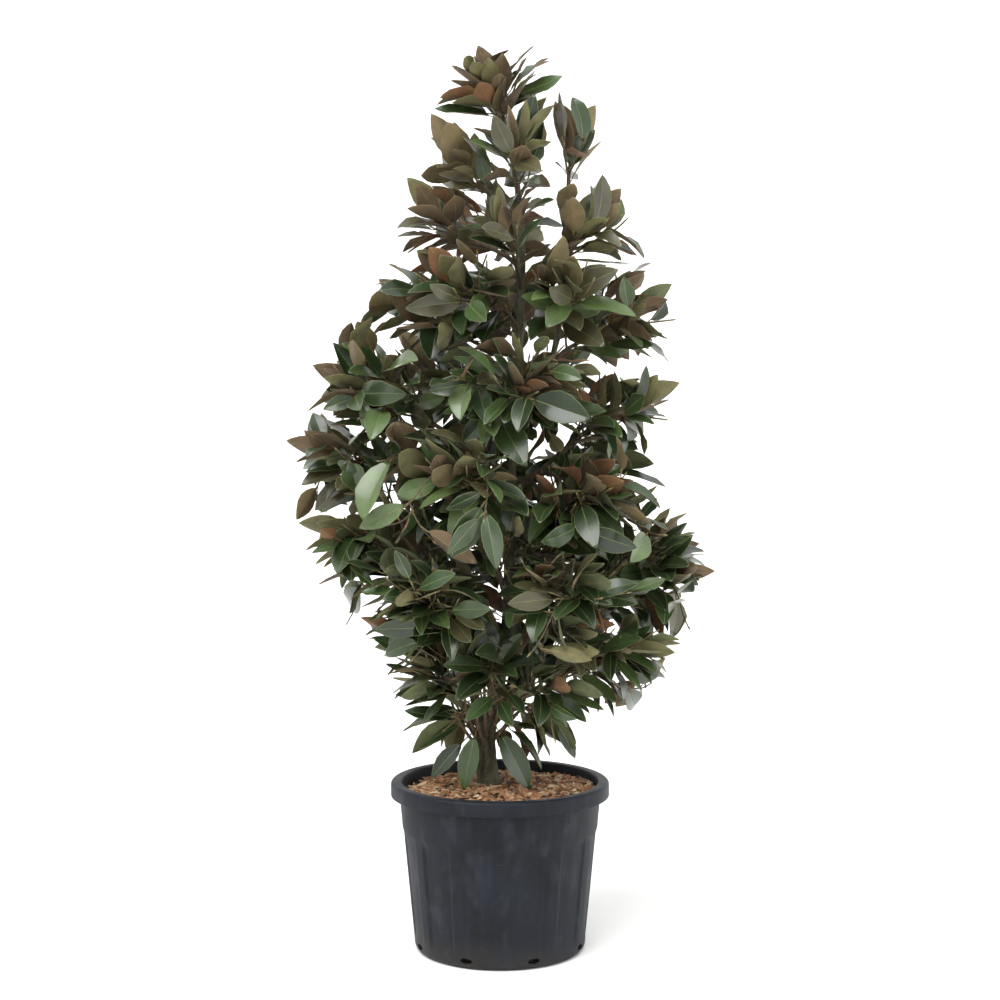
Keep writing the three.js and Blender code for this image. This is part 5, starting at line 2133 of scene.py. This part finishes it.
    def fill(self) -> None:
        """Grow one more sprig towards the emptiest place that a twig can reach."""
        habit, random = self.habit, self.random
        steps = np.array([[random.between(-1, 1) for _ in range(3)] for _ in range(habit.fill_tries)])
        places = np.array(self.plan.heart) + steps * habit.fill_reach
        places = places[self.crown.within(places, self.index)]
        if not len(places):
            return
        distances = np.linalg.norm(places[:, None] - np.array(self.middles)[None], axis=2).min(axis=1)
        goal = Vector(places[distances.argmax()])
        base, along = min(self.perches, key=lambda perch: (perch[0] - goal).length)
        across = goal - base
        least, most = habit.perch_reach
        if distances.max() < habit.full_at or not least < across.length < most:
            return
        ahead = across.normalized()
        leaving, arriving = ahead + along * habit.fill_lead, ahead + UP * habit.fill_rise
        axis = SpringCurve(base, leaving.normalized(), goal, arriving.normalized())
        if self.clear(axis):
            self.sprout(axis, SPRIG, habit.leaves_at(goal.z, SPRIG), habit.least_leaves)

    def grow(self) -> None:
        """Grow the stem, its side twigs and their sprigs."""
        plan, habit, random = self.plan, self.habit, self.random
        self.end_leaf()
        self.sprout(plan.stem, STEM, habit.stem_leaves, 0)
        sparse = plan.tier.name == "fork"
        count = plan.tier.side_twigs + (0 if sparse else habit.extra_twigs)
        first = plan.bare / plan.stem.length
        for number in range(count):
            jitter = habit.twig_jitter * random.next()
            share = mix(first, habit.twigs_end, (count - 1 - number + jitter) / count)
            roll = number * GOLDEN_TURN + random.between(-habit.twig_roll, habit.twig_roll)
            length = plan.tier.twig * random.between(*habit.twig_length)
            self.branch(plan.stem, share, roll, length, TWIG)
        for number in range(habit.bough_twigs if plan.bough else 0):
            share = mix(*habit.bough_span, (number + random.next()) / habit.bough_twigs)
            length = plan.tier.twig * random.between(*habit.twig_length)
            self.branch(plan.bough, share, number * GOLDEN_TURN + habit.bough_roll, length, TWIG)
        for _ in range(0 if sparse else round(habit.fills * (1 - habit.high(plan.heart.z)) ** 2)):
            self.fill()


@dataclass
class Crown:
    """All masses of foliage, joined tier by tier."""

    press: LeafPress = field(default_factory=LeafPress)
    habit: Habit = field(default_factory=Habit)
    bud: tuple = (16.0, 2.9)  # length and radius of a bud at a shoot's end
    bud_size: tuple = (0.75, 1.1)
    bud_profile: tuple = ((-0.12, 0.62), (0.12, 0.92), (0.36, 1.0), (0.72, 0.58), (1.0, 0.06))
    bud_sides: int = 5
    sturdy_skin: tuple = (8, 14)  # sides round a stem and step along it
    slim_skin: tuple = (5, 18)

    def leaf_finishes(self) -> list[bpy.types.Material]:
        """Mix the finishes of leaves.

        Returns:
            Those of rib, stalk and pale margin (partly painted edge highlight), of the upper tints and of
            the under ones.
        """
        finishes = [PlainGrowth(Tint.RIB, 0.5), PlainGrowth(Tint.STALK, 0.6), PlainGrowth(Tint.MARGIN, 0.45)]
        finishes += [UpperLeaf(tint) for tint, *_ in UPPER_TINTS]
        finishes += [UnderLeaf(tint) for tint, *_ in UNDER_TINTS]
        return [finish.material() for finish in finishes]

    def bud_skin(self, tip: Vector, along: Vector, size: float) -> tuple[np.ndarray, np.ndarray, np.ndarray]:
        """Wrap one bud.

        Args:
            tip: the shoot's end.
            along: the shoot's direction.
            size: how it compares with the usual one.

        Returns:
            Corners, faces and the pattern's marks.
        """
        length, radius = self.bud[0] * size, self.bud[1] * size
        centres = [tip + along * (share * length) for share, _ in self.bud_profile]
        return tube(centres, [radius * swell for _, swell in self.bud_profile], self.bud_sides)

    def add_shoot(self, shoot: Shoot, twigs: MeshStock) -> None:
        """Add a shoot to a stock of twigs.

        Args:
            shoot: the shoot.
            twigs: the stock.
        """
        sturdy = shoot.wood in (STEM, THIN)
        skin, faces, marks = shoot.skin(*(self.sturdy_skin if sturdy else self.slim_skin))
        slot = 1 if sturdy else 0
        twigs.add(skin, faces, np.full(len(faces), slot), marks)

    def build(self) -> None:
        """Grow every mass and make the pieces of each tier."""
        crown, wood = CrownSpace(), WoodSpace()
        finishes = self.leaf_finishes()
        woods = [PlainGrowth(Tint.SHOOT, 0.65, 300), PlainGrowth(Tint.TWIG, 0.75, 300)]
        wood_finishes = [finish.material() for finish in woods]
        buds = MeshStock()
        masses = [Foliage(index, crown, wood, self.press, self.habit) for index in range(len(PLANS))]
        LOG.info("leaves: %d, shoots: %d", sum(len(each.leaves) for each in masses),
                 sum(len(each.shoots) for each in masses))
        for tier in TIERS:
            leaves, twigs, names = MeshStock(), MeshStock(), []
            for mass in (each for each in masses if each.plan.tier is tier):
                names.append(f"foliage_{mass.plan.name}")
                for leaf in mass.leaves:
                    self.press.press(leaf, leaves)
                for number, shoot in enumerate(mass.shoots):
                    self.add_shoot(shoot, twigs)
                    size = mass.random.between(*self.bud_size)
                    if number > 0:
                        skin, faces, marks = self.bud_skin(shoot.axis.point(1), shoot.axis.tangent(1), size)
                        buds.add(skin, faces, np.zeros(len(faces)), marks)
            if tier.name == "fork":
                for hanging in HANGING:
                    self.press.press(hanging.leaf(), leaves)
                    self.add_shoot(hanging.shoot(), twigs)
                for stem in THIN_STEMS:
                    self.add_shoot(Shoot(stem.axis(), THIN, 0, 0.0), twigs)
            place(leaves.build(f"leaves_{tier.name}", finishes), names)
            place(twigs.build(f"twigs_{tier.name}", wood_finishes), names)
        place(buds.build("buds", [PlainGrowth(Tint.BUD, 0.85, 500).material()]))


# --- studio


@dataclass
class Studio:
    """A white bowl of a studio under a soft sky, and the camera."""

    floor_radius: float = 6500
    sweep: float = 2600
    wall_top: float = 5600
    rings: tuple = (8, 13)  # of the floor and of the sweep
    steps: int = 96
    crisp_above: float = 60
    floor_colour: tuple = (238, 238, 237)
    camera_place: tuple = (0.0, -4.943, 1.493)
    camera_pitch: float = 3.0
    lens: float = 65.316
    sky_colour: tuple = (0.98, 0.98, 0.98, 1.0)
    sky: float = 1.22
    sun: float = 3.0
    sun_from: tuple = (-0.45, -0.75, 1.35)
    sun_softness: float = 46.0
    fill_from: tuple = (3.4, -3.6, 1.9)
    fill: float = 40.0
    fill_size: float = 2.6

    def bowl(self) -> None:
        """Make the floor that sweeps up into a wall all round."""
        on_floor, on_sweep = self.rings
        arc = [(self.floor_radius + self.sweep * math.sin(turn), self.sweep * (1 - math.cos(turn)))
               for turn in np.linspace(0, math.pi / 2, on_sweep)]
        floor = [(radius, 0) for radius in np.linspace(0, self.floor_radius, on_floor)[:-1]]
        piece = spun("studio_floor", [*floor, *arc, (arc[-1][0], self.wall_top)], self.steps)
        bench = NodeBench("studio_paint")
        bench.set(Base_Color=linear(self.floor_colour), Roughness=0.95)
        piece.data.materials.append(bench.material)
        smooth_by_angle(piece, self.crisp_above)
        deselect()
        bpy.context.view_layer.objects.active = piece
        bpy.ops.object.mode_set(mode="EDIT")
        bpy.ops.mesh.select_all(action="SELECT")
        bpy.ops.mesh.normals_make_consistent(inside=True)
        bpy.ops.object.mode_set(mode="OBJECT")

    def hang(self, name: str, kind: str, where: tuple, aim: tuple, strength: float) -> bpy.types.Light:
        """Hang a lamp.

        Args:
            name: its name.
            kind: SUN or AREA.
            where: its place.
            aim: the point that it shines at.
            strength: its energy.

        Returns:
            The lamp's data.
        """
        data = bpy.data.lights.new(name, kind)
        data.energy = strength
        lamp = bpy.data.objects.new(name, data)
        lamp.location = where
        lamp.rotation_euler = (Vector(aim) - Vector(where)).to_track_quat("-Z", "Y").to_euler()
        bpy.context.scene.collection.objects.link(lamp)
        return data

    def light_up(self) -> None:
        """Hang the hazy sun and a weak fill, and set the sky."""
        hazy = self.hang("hazy_sun", "SUN", self.sun_from, (0, 0, 0), self.sun)
        hazy.angle = self.sun_softness * DEGREE
        fill = self.hang("fill", "AREA", self.fill_from, (0, 0, 1.0), self.fill)
        fill.size = self.fill_size
        world = bpy.data.worlds.new("sky")
        world.use_nodes = True
        background = world.node_tree.nodes["Background"]
        background.inputs["Color"].default_value = self.sky_colour
        background.inputs["Strength"].default_value = self.sky
        bpy.context.scene.world = world
        bpy.context.scene.view_settings.view_transform = "Standard"

    def set_camera(self) -> None:
        """Stand the camera at hand height in front of the tree."""
        data = bpy.data.cameras.new("camera")
        data.lens = self.lens
        camera = bpy.data.objects.new("camera", data)
        camera.location = self.camera_place
        camera.rotation_euler = ((90 - self.camera_pitch) * DEGREE, 0, 0)
        bpy.context.scene.collection.objects.link(camera)
        bpy.context.scene.camera = camera

    def build(self) -> None:
        """Set up the whole studio."""
        self.bowl()
        self.light_up()
        self.set_camera()
        LOG.info("studio is up")


def main() -> None:
    """Build the studio, the pot, the mulch, the wood and the crown, logging the faces of each piece."""
    logging.basicConfig(level=logging.INFO, format="%(message)s")
    Studio().build()
    pot = Pot()
    pot.build()
    mulch = Mulch(pot)
    mulch.bed()
    mulch.chip_layer()
    wood = Woodwork()
    wood.trunk()
    wood.boughs()
    Crown().build()


if __name__ == "__main__":
    main()
